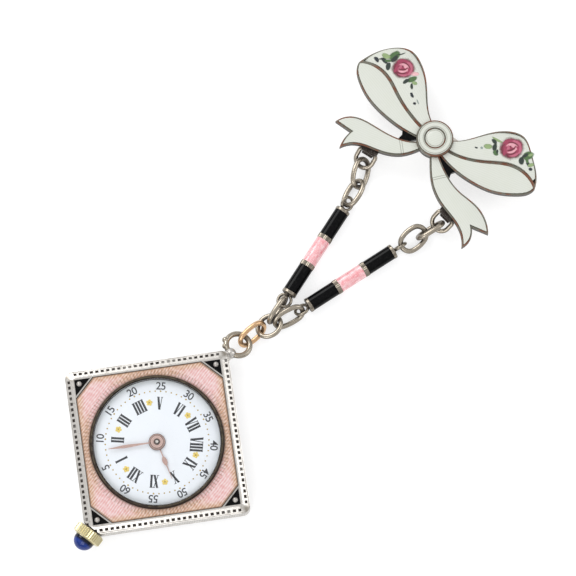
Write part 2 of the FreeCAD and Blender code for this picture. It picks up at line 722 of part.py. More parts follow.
def knot_ring():
    """Flat-topped ring with both upper edges bevelled."""
    bottom = KNOT_FLOOR + GAP
    shoulder = KNOT_TOP - KNOT_BEVEL
    profile = [vector(KNOT_RING_IN, 0, bottom), vector(KNOT_RING_OUT, 0, bottom),
               vector(KNOT_RING_OUT, 0, shoulder), vector(KNOT_RING_OUT - KNOT_BEVEL, 0, KNOT_TOP),
               vector(KNOT_RING_IN + KNOT_BEVEL, 0, KNOT_TOP), vector(KNOT_RING_IN, 0, shoulder)]
    ring = revolved(profile)
    ring.translate(vector(*KNOT_AT))
    return bow_placed(ring)


def knot_centre():
    rise = KNOT_TOP - KNOT_FLOOR - KNOT_STEP
    radius = (KNOT_CENTRE_R ** 2 + rise ** 2) / (2 * rise)
    ball = Part.makeSphere(radius, vector(*KNOT_AT, KNOT_TOP - radius))
    return bow_placed(disc(KNOT_CENTRE_R, KNOT_FLOOR + GAP, FAR, KNOT_AT).common(ball))


def brooch_pin():
    """Hinge block, straight pin and hooked catch behind the bow, as one plain piece."""
    long = PIN_BLOCK_LONG
    wide = PIN_BLOCK_WIDE
    top = BOW_BACK - GAP
    hinge = Part.makeBox(long, wide, top, vector(-PIN_REACH, PIN_Y - wide / 2, 0))
    catch = Part.makeBox(long / 2, wide, top, vector(PIN_REACH - long / 2, PIN_Y - wide / 2, 0))
    slot = Part.makeBox(long, wide / 2, 2 * PIN_R, vector(PIN_REACH - long, PIN_Y - wide, PIN_LINE + PIN_R))
    start = vector(-PIN_REACH + long / 2, PIN_Y, PIN_LINE)
    shaft = Part.makeCylinder(PIN_R, 2 * PIN_REACH - long, start, vector(1, 0))
    return bow_placed(hinge.fuse([catch.cut(slot), shaft]))


def main():
    os.makedirs("parts", exist_ok=True)
    save(case(), "case")
    save(bezel(), "bezel")
    save(face_plate(), "face_plate")
    for quarter in range(4):
        save(corner_enamel(quarter), "corner_enamel_" + str(quarter + 1))
    save(crystal_ring(), "crystal_ring")
    save(dial(), "dial")
    save(crystal(), "crystal")
    save(movement(), "movement")
    save(minute_hand(), "minute_hand")
    save(hour_hand(), "hour_hand")
    save(stem(), "stem")
    save(crown_collar(), "crown_collar")
    save(cabochon(), "cabochon")
    save(watch_bow(), "watch_bow")
    for row in LINKS:
        save(link(row), row[0])
    for row in D_RINGS:
        save(d_ring(row), row[0])
    for row in BARS:
        save(bar_core(row), row[0] + "_core")
        for section in ("black_upper", "pink", "black_lower"):
            save(bar_sleeve(row, section), row[0] + "_" + section)
    save(bow_plate(), "bow_plate")
    for name in PANELS:
        save(panel(name), name)
    for side in ("left", "right"):
        save(web(side), "web_" + side)
    save(knot_ring(), "knot_ring")
    save(knot_centre(), "knot_centre")
    save(brooch_pin(), "brooch_pin")


main()
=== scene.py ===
import math

import bpy
import numpy as np
from bpy.props import FloatProperty, FloatVectorProperty, IntProperty, PointerProperty
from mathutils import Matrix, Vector


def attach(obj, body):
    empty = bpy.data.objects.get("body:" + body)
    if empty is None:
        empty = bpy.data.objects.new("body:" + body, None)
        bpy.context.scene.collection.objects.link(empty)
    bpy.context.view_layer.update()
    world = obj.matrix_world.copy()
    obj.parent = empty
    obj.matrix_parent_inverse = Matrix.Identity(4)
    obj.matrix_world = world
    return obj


bl_info = {
    "name": "Chatelaine Watch Pin",
    "version": (1, 0, 0),
    "blender": (4, 5, 0),
    "location": "View3D > Sidebar > Watch Pin",
    "description": "Finishes a square pendant watch on its chain and enamelled bow",
    "category": "Object",
}

# The frame: origin under the watch's middle, +Y to the bow, +Z up, metres
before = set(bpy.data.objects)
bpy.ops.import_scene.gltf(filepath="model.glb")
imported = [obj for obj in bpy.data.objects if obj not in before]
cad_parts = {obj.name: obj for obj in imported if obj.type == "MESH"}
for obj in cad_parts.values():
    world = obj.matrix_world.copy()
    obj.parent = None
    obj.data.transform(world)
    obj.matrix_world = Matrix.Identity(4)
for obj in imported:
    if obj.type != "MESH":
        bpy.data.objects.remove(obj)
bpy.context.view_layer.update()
MM = 0.001
BODY = "watch"


def linear(code):
    """Linear colour of a six-digit screen colour."""
    parts = [int(code[i:i + 2], 16) / 255 for i in (0, 2, 4)]
    return tuple(p / 12.92 if p <= 0.04045 else ((p + 0.055) / 1.055) ** 2.4 for p in parts)


def scaled(colour, factor, lift=0.0):
    """A colour times a factor, plus the same amount in each channel."""
    return tuple(c * factor + lift for c in colour)


def tinted(colour, factors):
    """A colour with each channel times a factor of its own."""
    return tuple(c * k for c, k in zip(colour, factors))


def mixed(first, second, share):
    """A colour between two, with the second's share."""
    return tuple(a * (1 - share) + b * share for a, b in zip(first, second))


def colour_property(name, description, code):
    return FloatVectorProperty(name=name, description=description, subtype="COLOR", size=3, min=0, max=1,
                               default=linear(code))


def length_property(name, description, millimetres):
    return FloatProperty(name=name, description=description, unit="LENGTH", min=0, default=millimetres * MM)


class PinColours(bpy.types.PropertyGroup):
    """Colours of the metals, enamels and paints."""
    chain: colour_property("Chain silver", "Warm grey of the links, rings and bars", "aba396")
    silver: colour_property("Silver", "Polished faces of the case, the rim and the bow's pin", "dedad4")
    # Dark of the silver's patina; the finishes also use this colour for painted shade in hollows and between
    # pieces
    tarnish: colour_property("Tarnish", "Dark film in the crevices of the silver", "2a2019")
    gilt: colour_property("Gilt", "Pale gold of the crown", "cfc498")
    link_gilt: colour_property("Link gold", "Rosier gold of one link", "d2a97c")
    pink: colour_property("Pink enamel", "Translucent enamel of the face", "d8a5a1")
    peach: colour_property("Peach edge", "Thin enamel over gold along the face's edges", "cf9c70")
    bar_pink: colour_property("Bar pink", "Enamel in the middle of each bar", "df858c")
    black: colour_property("Black enamel", "Corners, bars and webs", "030304")
    dial: colour_property("Dial", "White enamel of the dial", "eef3f8")
    ink: colour_property("Ink", "Hour and minute figures", "20242c")
    dot_gold: colour_property("Dot gold", "Minute dots and the middles of the florets", "b39a4c")
    floret: colour_property("Floret yellow", "Petals of the florets between the hour figures", "e9d06a")
    hand: colour_property("Hands", "Pale copper of the hands", "cfaea4")
    stone: colour_property("Stone", "Blue cabochon", "0f2d78")
    bow_white: colour_property("Bow white", "Enamel of the bow", "cbcec4")
    bow_line: colour_property("Bow line", "Worn brown of the raised lines round the bow's panels", "774a34")


class PinSizes(bpy.types.PropertyGroup):
    """Sizes of what is painted or engraved."""
    numeral_in: length_property("Numeral foot", "Distance of the hour figures' feet from the middle", 5.1)
    numeral_high: length_property("Numeral height", "Height of the hour figures", 2.0)
    figure_at: length_property("Minute figures", "Distance of the minute figures from the middle", 8.85)
    figure_high: length_property("Figure height", "Height of the minute figures", 1.2)
    dots_at: length_property("Dot circle", "Radius of the circle of minute dots", 8.0)
    florets_at: length_property("Floret circle", "Radius of the circle of gold florets", 6.3)
    turning_pitch: length_property("Engine turning", "Distance between the lines on the face", 0.38)
    dot_count: IntProperty(name="Dots", description="Minute dots round the dial", min=12, default=60)


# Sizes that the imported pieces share, in millimetres, and their turns in degrees
DIAL_TOP = 4.6
DIAL_R = 9.78
DIAL_TURN = 3.3
RIM_IN_HALF = 11.5
MARK_PITCH = 0.86
MARK_LONG = 0.44
MARK_WIDE = 0.36
MARK_LINE = 12.28
PLATE_CORNER = 14.0
APERTURE_R = 10.45
RING_CREST_R = 10.12
POST_R = 0.3
HOUR_HUB_R = 1.3
MINUTE_HUB_R = 1.05
STONE_TIP = 20.25
BOW_AT = (5.85, 64.85)
BOW_TURN = -0.8
BOW_RIM = 4.5
BOW_BACK = 3.4
PANEL_CROWN_R = 9.0
KNOT = (5.897, 64.599)
BARS = {"bar_left": ((0.70, 47.50), (1.90, 31.40)), "bar_right": ((11.00, 46.90), (5.40, 31.60))}

# Engraving and turned lines
GROOVE_LINE = 12.66
HATCH_PITCH = 0.26
RAY_COUNT = 126
HUB_RING_PITCH = 0.2
BAR_WAVE_PITCH = 1.3
BAR_LINE_PITCH = 0.3
BOW_LINE_PITCH = 0.34
CREASE_APART = 0.34

# Tones that the finishes mix in; the dial's edge tone and the bow's crevice tone are painted shade
DIAL_EDGE_SHADE = linear("bcc4c2")
DIAL_BLOOM = linear("eef2f8")
HUB_SHEEN = linear("eedcd4")
BOW_CREVICE_SHADE = linear("7a7466")
KNOT_LINE = linear("6f6c5c")
CREASE_LINE = linear("77796c")
WORN_GREY = linear("6f6d61")

# What is laid on the dial and the bow
FIGURE_LOW = 0.002
FIGURE_HIGH = 0.014
DOT_LOW = 0.001
DOT_R = 0.12
FIVE_DOT_R = 0.14
FLORETS = 6
PETALS = 5
PETAL_AT = 0.31
PETAL_R = 0.21
BOSS_R = 0.13
PAINT_LIFT = 0.014
PAINT_STEP = 0.05

# The floor, the sky's levels by height, the soft boxes and the camera
FLOOR_HALF = 1500.0
FLOOR_LEVEL = -0.04
SKY = ((0.0, 0.5), (0.12, 0.4), (0.35, 0.8), (0.7, 1.0))
SKY_BLUE = 1.01
SKY_STRENGTH = 0.85
LIGHTS_AIM = (0.002, 0.03, 0.0)
# Each light's name, azimuth, elevation, distance and size in metres, and power in watts
LIGHTS = (("key", 165, 38, 0.6, 0.36, 1.7), ("fill", 285, 40, 0.6, 0.36, 1.0),
          ("back", 40, 32, 0.7, 0.3, 0.7))
CAMERA_AIM = (1.735, 31.46, 5.2)
CAMERA_AZIMUTH = 36.7
CAMERA_ELEVATION = 78.0
CAMERA_DISTANCE = 0.45
SENSOR = 36.0
IMAGE_PIXELS = 576
PIXELS_PER_MM = 6.42


class Wire:
    """A shader socket used in sums: each operator adds one Math node and gives its result."""

    def __init__(self, recipe, socket):
        self.recipe = recipe
        self.socket = socket

    def __add__(self, other):
        return self.recipe.math("ADD", self, other)

    def __sub__(self, other):
        return self.recipe.math("SUBTRACT", self, other)

    def __rsub__(self, other):
        return self.recipe.math("SUBTRACT", other, self)

    def __mul__(self, other):
        return self.recipe.math("MULTIPLY", self, other)

    __radd__ = __add__
    __rmul__ = __mul__


class Recipe:
    """One material, or the sky, under construction."""

    def __init__(self, name, kind=bpy.data.materials):
        self.made = kind.new(name)
        self.made.use_nodes = True
        self.tree = self.made.node_tree
        self.tree.nodes.clear()

    def node(self, kind, settings=None, sockets=None):
        """Adds a node: first its settings, then the values or links of its sockets."""
        made = self.tree.nodes.new(kind)
        for key, value in (settings or {}).items():
            if key == "stops":
                elements = made.color_ramp.elements
                while len(elements) < len(value):
                    elements.new(1.0)
                for element, (position, colour) in zip(elements, value):
                    element.position = position
                    element.color = (*colour, 1.0)
            else:
                setattr(made, key, value)
        for key, value in (sockets or {}).items():
            socket = next(s for s in made.inputs if s.identifier == key)
            if isinstance(value, Wire):
                self.tree.links.new(value.socket, socket)
            elif socket.type == "RGBA":
                socket.default_value = (*value[:3], 1.0)
            else:
                socket.default_value = value
        return {s.identifier: Wire(self, s) for s in made.outputs}

    def math(self, operation, *values):
        """A Math node on one or two values."""
        names = ("Value", "Value_001")
        return self.node("ShaderNodeMath", {"operation": operation}, dict(zip(names, values)))["Value"]

    def larger(self, first, second):
        """The larger of two distances from zero."""
        return self.math("MAXIMUM", self.math("ABSOLUTE", first), self.math("ABSOLUTE", second))

    def smaller(self, first, second):
        """The smaller of two distances from zero."""
        return self.math("MINIMUM", self.math("ABSOLUTE", first), self.math("ABSOLUTE", second))

    def radius(self, x, y):
        """The distance sqrt(x^2 + y^2) from the axis."""
        return self.math("SQRT", x * x + y * y)

    def wave(self, value, pitch, shift=None):
        """sin(2 pi value / pitch + shift): even lines of a pitch, moved along by the shift."""
        phase = value * (2 * math.pi / pitch)
        return self.math("SINE", phase if shift is None else phase + shift)

    def place(self, turn=0.0, at=(0.0, 0.0, 0.0)):
        """Object coordinates in millimetres, about a point and turned round Z by some degrees."""
        coords = self.node("ShaderNodeTexCoord")["Object"]
        moved = self.node("ShaderNodeMapping", None, {
            "Vector": coords, "Scale": (1 / MM, 1 / MM, 1 / MM), "Location": tuple(-v for v in at)})["Vector"]
        if not turn:
            return moved
        return self.node("ShaderNodeMapping", None, {
            "Vector": moved, "Rotation": (0.0, 0.0, math.radians(-turn))})["Vector"]

    def split(self, vector):
        parts = self.node("ShaderNodeSeparateXYZ", None, {"Vector": vector})
        return parts["X"], parts["Y"], parts["Z"]

    def noise(self, vector, scale, detail=3.0, rough=0.55):
        return self.node("ShaderNodeTexNoise", None, {
            "Vector": vector, "Scale": scale, "Detail": detail, "Roughness": rough})["Fac"]

    def upward(self):
        """How far the surface faces up: 1 on top, 0 on walls, below 0 underneath."""
        return self.split(self.node("ShaderNodeTexCoord")["Normal"])[2]

    def stretched(self, vector, factors):
        """Coordinates times a factor along each axis, so that a pattern is drawn out or packed."""
        return self.node("ShaderNodeMapping", None, {"Vector": vector, "Scale": factors})["Vector"]

    def ramp(self, value, low, high, start=0.0, end=1.0):
        """Smooth step from start at low to end at high."""
        return self.node("ShaderNodeMapRange", {"interpolation_type": "SMOOTHSTEP"}, {
            "Value": value, "From Min": low, "From Max": high, "To Min": start, "To Max": end})["Result"]

    def band(self, value, centre, half, soft):
        """1 within half of the centre, falling to 0 over the soft width."""
        off = self.math("ABSOLUTE", value - centre)
        return self.ramp(off, half, half + soft, 1.0, 0.0)

    def blend(self, factor, first, second):
        """From the first colour to the second as the factor goes from 0 to 1."""
        return self.node("ShaderNodeMix", {"data_type": "RGBA"}, {
            "Factor_Float": factor, "A_Color": first, "B_Color": second})["Result_Color"]

    def crevice(self, distance, low=0.35, high=0.9):
        """1 deep in corners and between pieces, 0 on open faces: ambient occlusion, which the finishes use to
        paint shade there.
        """
        open_part = self.node("ShaderNodeAmbientOcclusion", {"samples": 8}, {"Distance": distance * MM})["AO"]
        return self.ramp(open_part, low, high, 1.0, 0.0)

    def bump(self, height, depth, strength):
        """Relief of a depth in millimetres."""
        return self.node("ShaderNodeBump", None, {
            "Height": height, "Distance": depth * MM, "Strength": strength})["Normal"]

    def surface(self, **sockets):
        """Ends the recipe with one Principled shader; names use _ for spaces."""
        named = {key.replace("_", " "): value for key, value in sockets.items()}
        shader = self.node("ShaderNodeBsdfPrincipled", None, named)["BSDF"]
        self.node("ShaderNodeOutputMaterial", None, {"Surface": shader})
        return self.made


def worn_silver(name, colour, tarnish, reach=1.1):
    """Rubbed silver with fine scratches: bright on top; painted shade makes it brown-black low on its sides
    and in crevices, over some patina.
    """
    make = Recipe(name)
    at = make.place()
    cloud = make.noise(at, 0.9, 4.0)
    grain = make.noise(at, 7.0, 3.0, 0.7)
    scratch = make.noise(make.stretched(at, (2.0, 26.0, 9.0)), 1.0, 2.0)
    # Painted shade: darker in hollows and where pieces touch, and on the sides that face away from the sky;
    # some patina clouds it too
    deep = make.crevice(reach)
    shade = make.ramp(make.upward() + (cloud - 0.5) * 0.5, 0.62, 0.0)
    film_and_shade = deep * 0.9 + shade * 0.72 + make.ramp(cloud, 0.55, 0.8) * 0.2 + (grain - 0.5) * 0.35 * deep
    film_and_shade = make.math("MAXIMUM", make.math("MINIMUM", film_and_shade, 1.0), 0.0)
    warm = tinted(colour, (0.82, 0.78, 0.72))
    tone = make.blend(make.ramp(grain, 0.35, 0.7), colour, warm)
    tone = make.blend(film_and_shade, tone, tarnish)
    rough = make.ramp(grain, 0.3, 0.75, 0.2, 0.36) + film_and_shade * 0.25
    normal = make.bump(scratch + grain * 0.6, 0.012, 0.5)
    return make.surface(Base_Color=tone, Metallic=1.0 - film_and_shade * 0.65, Roughness=rough, Normal=normal)


def rim_silver(name, colour, tarnish):
    """Bright engraved rim: a row of square marks and a fine groove along each side, both dark inside, with
    painted shade in its hollows and in the gap at its inner edge.
    """
    make = Recipe(name)
    at = make.place()
    u, v, z = make.split(make.place(45))
    across = make.larger(u, v)
    along = make.smaller(u, v)
    step = make.math("PINGPONG", along, MARK_PITCH / 2)
    mark = make.band(step, 0.0, MARK_LONG / 2, 0.06) * make.band(across, MARK_LINE, MARK_WIDE / 2, 0.05)
    mark = mark * make.ramp(along, 11.45, 11.3) * make.ramp(z, 4.2, 4.4)
    groove = make.band(across, GROOVE_LINE, 0.03, 0.05) * make.ramp(make.noise(at, 0.22, 2.0), 0.35, 0.6)
    patch = make.noise(at, 0.35, 2.0)
    mark = mark * make.ramp(patch, 0.25, 0.5, 0.5, 1.0)
    grain = make.noise(at, 9.0, 3.0, 0.7)
    wear = make.noise(at, 1.6, 4.0)
    rubbed = make.ramp(wear + make.ramp(along, 10.9, 12.2) * 0.2, 0.52, 0.72) * 0.45
    rubbed = make.math("MAXIMUM", rubbed, make.ramp(along, 11.5, 12.1) * make.ramp(wear, 0.3, 0.6, 0.45, 0.9))
    # Painted shade: a dark line in the gap between the rim and the plate, and darker hollows from the
    # occlusion mask, over some patina
    seam_shade = make.ramp(across, RIM_IN_HALF + 0.12, RIM_IN_HALF) * make.ramp(z, 4.5, 4.6)
    deep = make.crevice(0.5, 0.3, 0.8) * 0.55
    dark = make.math("MINIMUM", make.math("MAXIMUM", mark * 0.97, deep) + seam_shade * 0.35 + groove * 0.6, 1.0)
    tone = make.blend(make.ramp(grain, 0.35, 0.75), colour, scaled(colour, 0.86))
    tone = make.blend(rubbed, tone, tinted(colour, (0.42, 0.39, 0.34)))
    tone = make.blend(dark, tone, tarnish)
    normal = make.bump(grain - mark * 0.4, 0.012, 0.45)
    return make.surface(Base_Color=tone, Metallic=1.0 - dark * 0.7,
                        Roughness=0.24 + dark * 0.35 + grain * 0.1, Normal=normal)


def hatched_silver(name, colour, tarnish):
    """Case sides: duller silver with fine upright hatching, clouded with patina and darkest in a line under
    the rim; painted shade darkens their hollows.
    """
    make = Recipe(name)
    at = make.place()
    u, v, z = make.split(make.place(45))
    along = make.smaller(u, v)
    lines = make.wave(along, HATCH_PITCH)
    side = make.band(z, 2.7, 1.1, 0.3)
    cloud = make.noise(at, 1.1, 4.0)
    grain = make.noise(at, 8.0, 3.0, 0.7)
    # Painted shade: the occlusion mask darkens the hollows, on top of the clouded patina
    deep = make.crevice(0.9)
    film_and_shade = make.ramp(cloud, 0.3, 0.75, 0.2, 0.7) + make.band(z, 3.9, 0.06, 0.08) * 0.45 + deep * 0.35
    film_and_shade = make.math("MINIMUM", film_and_shade + make.ramp(lines, 0.2, 0.9) * side * 0.45, 1.0)
    tone = make.blend(film_and_shade, colour, mixed(colour, tarnish, 0.5))
    tone = make.blend(deep * 0.6, tone, tarnish)
    normal = make.bump(lines * side * 0.5 + grain, 0.02, 0.5)
    return make.surface(Base_Color=tone, Metallic=1.0 - film_and_shade * 0.3, Roughness=0.26 + film_and_shade * 0.25,
                        Normal=normal)


def gilding(name, colour, tarnish, reach):
    """Pale gold, paler in patches of its fine grain, with painted shade in its hollows."""
    make = Recipe(name)
    at = make.place()
    grain = make.noise(at, 8.0, 3.0, 0.7)
    # Painted shade over some patina: darker in the hollows between ribs and where pieces touch
    deep = make.crevice(reach)
    pale = scaled(colour, 0.6, 0.36)
    tone = make.blend(make.ramp(grain, 0.4, 0.7) * 0.5, colour, pale)
    tone = make.blend(deep * 0.75, tone, mixed(colour, tarnish, 0.65))
    return make.surface(Base_Color=tone, Metallic=1.0 - deep * 0.3, Roughness=0.24 + grain * 0.12,
                        Normal=make.bump(grain, 0.012, 0.4))


def black_enamel(name, colour):
    """Deep gloss with a few pinholes and a soft bloom."""
    make = Recipe(name)
    at = make.place()
    grain = make.noise(at, 3.0, 4.0)
    holes = make.node("ShaderNodeTexVoronoi", None, {"Vector": at, "Scale": 2.6})["Distance"]
    pit = make.ramp(holes, 0.05, 0.0)
    bloom = scaled(colour, 1.0, 0.006)
    tone = make.blend(make.ramp(grain, 0.45, 0.8), colour, bloom)
    return make.surface(Base_Color=tone, Roughness=0.1 + make.ramp(grain, 0.5, 0.9) * 0.1, IOR=1.5,
                        Specular_IOR_Level=0.1, Normal=make.bump(grain * 0.5 - pit, 0.008, 0.4))


def turned_enamel(name, pink, peach, pitch):
    """Face: close lines under pink enamel, peach where it thins at the sides and beside the aperture."""
    make = Recipe(name)
    at = make.place()
    x, y, _ = make.split(at)
    u, v, _ = make.split(make.place(45))
    side = make.larger(u, v)
    corner = make.larger(x, y)
    radius = make.radius(x, y)
    angle = make.math("ARCTAN2", y, x)
    waver = make.math("SINE", y * 3.1) * 0.25
    lines = make.wave(x, pitch, waver)
    beat = make.wave(y, pitch * 2.3, make.math("SINE", x * 2.2) * 1.5)
    broken = make.noise(make.stretched(at, (2.4, 1.1, 1.0)), 1.0, 4.0, 0.7)
    strength = make.ramp(make.noise(at, 0.8, 2.0), 0.3, 0.7, 0.25, 0.75)
    turning = lines * strength + beat * 0.2 + (broken - 0.5) * 2.6
    cloud = make.noise(at, 0.5, 3.0)
    thin = make.ramp((RIM_IN_HALF - side) + (cloud - 0.5) * 0.9, 0.3, 1.5, 1.0, 0.0)
    thin = make.math("MAXIMUM", thin, make.ramp(corner, PLATE_CORNER - 0.65, PLATE_CORNER - 0.1) * 0.6)
    narrow = make.ramp(radius + (cloud - 0.5) * 1.2, APERTURE_R + 1.75, APERTURE_R + 0.55)
    narrow = narrow * make.ramp(side, 9.2, 10.5)
    thin = make.math("MAXIMUM", thin, narrow * 0.95)
    rays = make.math("SINE", angle * RAY_COUNT) * make.band(radius, APERTURE_R + 0.5, 0.38, 0.1)
    # Painted shade: dark lines in the gaps along the plate's outer edge and round the aperture
    ring_gap_shade = make.ramp(radius, APERTURE_R + 0.3, APERTURE_R + 0.03)
    border_shade = make.math("MAXIMUM", make.ramp(side, RIM_IN_HALF - 0.34, RIM_IN_HALF - 0.2),
                       make.ramp(corner, PLATE_CORNER - 0.28, PLATE_CORNER - 0.14))
    pale = scaled(pink, 0.45, 0.42)
    rich = tinted(pink, (0.92, 0.84, 0.86))
    tone = make.blend(make.ramp(turning + (cloud - 0.5) * 0.6, -1.0, 1.0), rich, pale)
    warm = make.blend(make.ramp(turning, -1.0, 1.0), scaled(peach, 0.72), scaled(peach, 0.6, 0.34))
    tone = make.blend(thin * 0.92, tone, warm)
    brown = scaled(peach, 0.32)
    tone = make.blend(make.ramp(rays, 0.1, 0.8) * 0.42, tone, brown)
    # Brown lines of painted shade in the gaps beside the rim and the ring
    tone = make.blend(make.math("MAXIMUM", border_shade * 0.72, ring_gap_shade * 0.6), tone, brown)
    height = turning * 0.5 + rays * 0.5 - border_shade
    return make.surface(Base_Color=tone, Roughness=0.34, Metallic=thin * 0.2, IOR=1.5, Coat_Weight=0.3,
                        Coat_Roughness=0.08, Normal=make.bump(height, 0.03, 0.7))


def dark_ring(name, colour, tarnish):
    """Oxidised ring round the glass, with a broken painted highlight of brown-gold on its crest."""
    make = Recipe(name)
    at = make.place()
    x, y, _ = make.split(at)
    radius = make.radius(x, y)
    # Painted highlight: a broken brown-gold line along the crest
    crest_highlight = make.band(radius, RING_CREST_R, 0.05, 0.1) * make.ramp(make.noise(at, 1.2), 0.35, 0.6)
    brown = mixed(colour, tarnish, 0.84)
    tone = make.blend(crest_highlight * 0.6, tarnish, brown)
    return make.surface(Base_Color=tone, Metallic=0.5, Roughness=0.3 + make.noise(at, 6.0) * 0.15,
                        Normal=make.bump(make.noise(at, 9.0), 0.01, 0.4))


def dial_enamel(name, colour):
    """White fired enamel: a little bluish, greyer in a soft ring of painted shade at its edge, under the ring
    and the glass.
    """
    make = Recipe(name)
    at = make.place()
    x, y, _ = make.split(at)
    radius = make.radius(x, y)
    cloud = make.noise(at, 0.4, 3.0)
    # Painted shade: a soft grey ring at the dial's edge, under the ring and the glass
    edge = make.ramp(radius + (cloud - 0.5) * 0.6, DIAL_R - 1.08, DIAL_R - 0.03)
    tone = make.blend(edge * 0.35, colour, DIAL_EDGE_SHADE)
    tone = make.blend(make.ramp(cloud, 0.4, 0.7) * 0.25, tone, DIAL_BLOOM)
    return make.surface(Base_Color=tone, Roughness=0.22, IOR=1.5, Coat_Weight=0.2, Coat_Roughness=0.04,
                        Normal=make.bump(make.noise(at, 1.6, 2.0), 0.006, 0.3))


def clear_glass(name):
    """Thin watch glass: see-through, with mirror gloss that grows towards grazing angles."""
    make = Recipe(name)
    fresnel = make.node("ShaderNodeFresnel", None, {"IOR": 1.45})["Fac"]
    smear = make.ramp(make.noise(make.place(), 0.35, 3.0), 0.35, 0.7, 0.35, 0.5)
    clear = make.node("ShaderNodeBsdfTransparent", None, {"Color": (1.0, 1.0, 1.0)})["BSDF"]
    gloss = make.node("ShaderNodeBsdfPrincipled", None, {
        "Base Color": (1.0, 1.0, 1.0), "Metallic": 1.0, "Roughness": 0.04})["BSDF"]
    glass = make.node("ShaderNodeMixShader", None, {
        "Fac": fresnel * smear, "Shader": clear, "Shader_001": gloss})["Shader"]
    make.node("ShaderNodeOutputMaterial", None, {"Surface": glass})
    return make.made


def hand_metal(name, colour, tarnish, hub):
    """Copper hand: turned rings on the hub and a dark line round it and round the post."""
    make = Recipe(name)
    at = make.place()
    x, y, _ = make.split(at)
    radius = make.radius(x, y)
    rings = make.wave(radius, HUB_RING_PITCH) * make.ramp(radius, hub, hub - 0.1)
    edge = make.math("MAXIMUM", make.band(radius, hub, 0.05, 0.05),
                     make.band(radius, POST_R + 0.12, 0.06, 0.05))
    grain = make.noise(at, 9.0, 3.0, 0.7)
    tone = make.blend(make.ramp(grain, 0.3, 0.8), colour, scaled(colour, 0.62))
    tone = make.blend(make.ramp(rings, 0.2, 0.9) * 0.5, tone, HUB_SHEEN)
    tone = make.blend(edge * 0.8, tone, tarnish)
    return make.surface(Base_Color=tone, Metallic=0.35, Roughness=0.32,
                        Normal=make.bump(rings + grain * 0.4, 0.01, 0.5))


def blue_stone(name, colour):
    """Opaque deep-blue cabochon: painted shade leaves it near black towards the collar, and painted light
    makes it lighter where light gathers near its tip.
    """
    make = Recipe(name)
    at = make.place()
    _, y, _ = make.split(at)
    cloud = make.noise(at, 0.9, 2.0)
    # Painted light and shade: near black towards the collar, lit blue in cloudy patches near the tip
    glow = make.ramp(y * -1.0, STONE_TIP - 1.5, STONE_TIP - 0.95) * make.ramp(cloud, 0.2, 0.7, 0.6, 1.0)
    bright = tuple(min(1.0, c * 1.25 + 0.01) for c in colour)
    tone = make.blend(glow, scaled(colour, 0.05), bright)
    return make.surface(Base_Color=tone, Roughness=0.08, IOR=1.5, Specular_IOR_Level=0.3,
                        Normal=make.bump(make.noise(at, 1.2), 0.006, 0.3))


def bar_enamel(name, colour, heading):
    """Pink sleeve: cloudy light patches over faint lines along and across the bar."""
    make = Recipe(name)
    at = make.place(heading)
    u, v, _ = make.split(at)
    wave = make.wave(v, BAR_WAVE_PITCH, make.math("SINE", u * 2.4) * 1.1)
    fine = make.wave(u, BAR_LINE_PITCH, make.math("SINE", v * 2.1))
    cloud = make.noise(make.stretched(at, (0.8, 1.6, 1.6)), 1.5, 5.0, 0.65)
    light = make.ramp(wave * 0.12 + fine * 0.1 + (cloud - 0.5) * 3.6, -0.9, 1.0)
    pale = scaled(colour, 0.42, 0.56)
    tone = make.blend(light, colour, pale)
    return make.surface(Base_Color=tone, Roughness=0.22, IOR=1.5, Coat_Weight=0.4, Coat_Roughness=0.05,
                        Normal=make.bump(wave * 0.4 + fine * 0.3, 0.02, 0.5))


def bow_enamel(name, colour, heading, creases=(), rings=(), painted_over=False):
    """White enamel over faint turning, with painted shade in its crevices. Creases are double lines across a
    ribbon, given by their two ends; rings are the radii of turned lines on the knot. Paint that floats over a
    panel would make its painted crevice shade too dark, so a panel painted over has none."""
    make = Recipe(name)
    shift = (*(KNOT if rings else BOW_AT), 0.0)
    at = make.place(heading + BOW_TURN, shift)
    u, v, _ = make.split(at)
    fine = make.wave(v, BOW_LINE_PITCH, make.math("SINE", u * 1.1) * 0.4)
    cloud = make.noise(at, 0.35, 4.0)
    speck = make.ramp(make.noise(at, 4.2, 2.0), 0.68, 0.78)
    # Painted shade: grey-brown in the crevices by the plate's rims, from the occlusion mask
    deep = 0.0 if painted_over else make.crevice(0.35, 0.45, 0.95) * 0.6
    pale = scaled(colour, 0.85, 0.1)
    green = tinted(colour, (0.76, 0.79, 0.72))
    tone = make.blend(make.ramp(cloud, 0.35, 0.7), pale, colour)
    tone = make.blend(make.ramp(fine, 0.0, 1.0) * 0.22, tone, green)
    tone = make.blend(speck * 0.2, tone, green)
    tone = make.blend(deep, tone, BOW_CREVICE_SHADE)
    height = fine * 0.3 + cloud
    for radius in rings:
        line = make.band(make.radius(u, v), radius, 0.035, 0.06)
        tone = make.blend(line * 0.55, tone, KNOT_LINE)
        height = height - line
    for (x0, y0), (x1, y1) in creases:
        slant = math.atan2(y1 - y0, x1 - x0)
        _, off, _ = make.split(make.place(math.degrees(slant) + BOW_TURN, shift))
        middle = y0 * math.cos(slant) - x0 * math.sin(slant)
        line = make.band(make.math("ABSOLUTE", off - middle), CREASE_APART / 2, 0.03, 0.06)
        tone = make.blend(line * 0.6, tone, CREASE_LINE)
        height = height - line
    return make.surface(Base_Color=tone, Roughness=0.18 + make.ramp(cloud, 0.4, 0.8) * 0.1, IOR=1.5,
                        Coat_Weight=0.2, Coat_Roughness=0.05, Normal=make.bump(height, 0.012, 0.5))


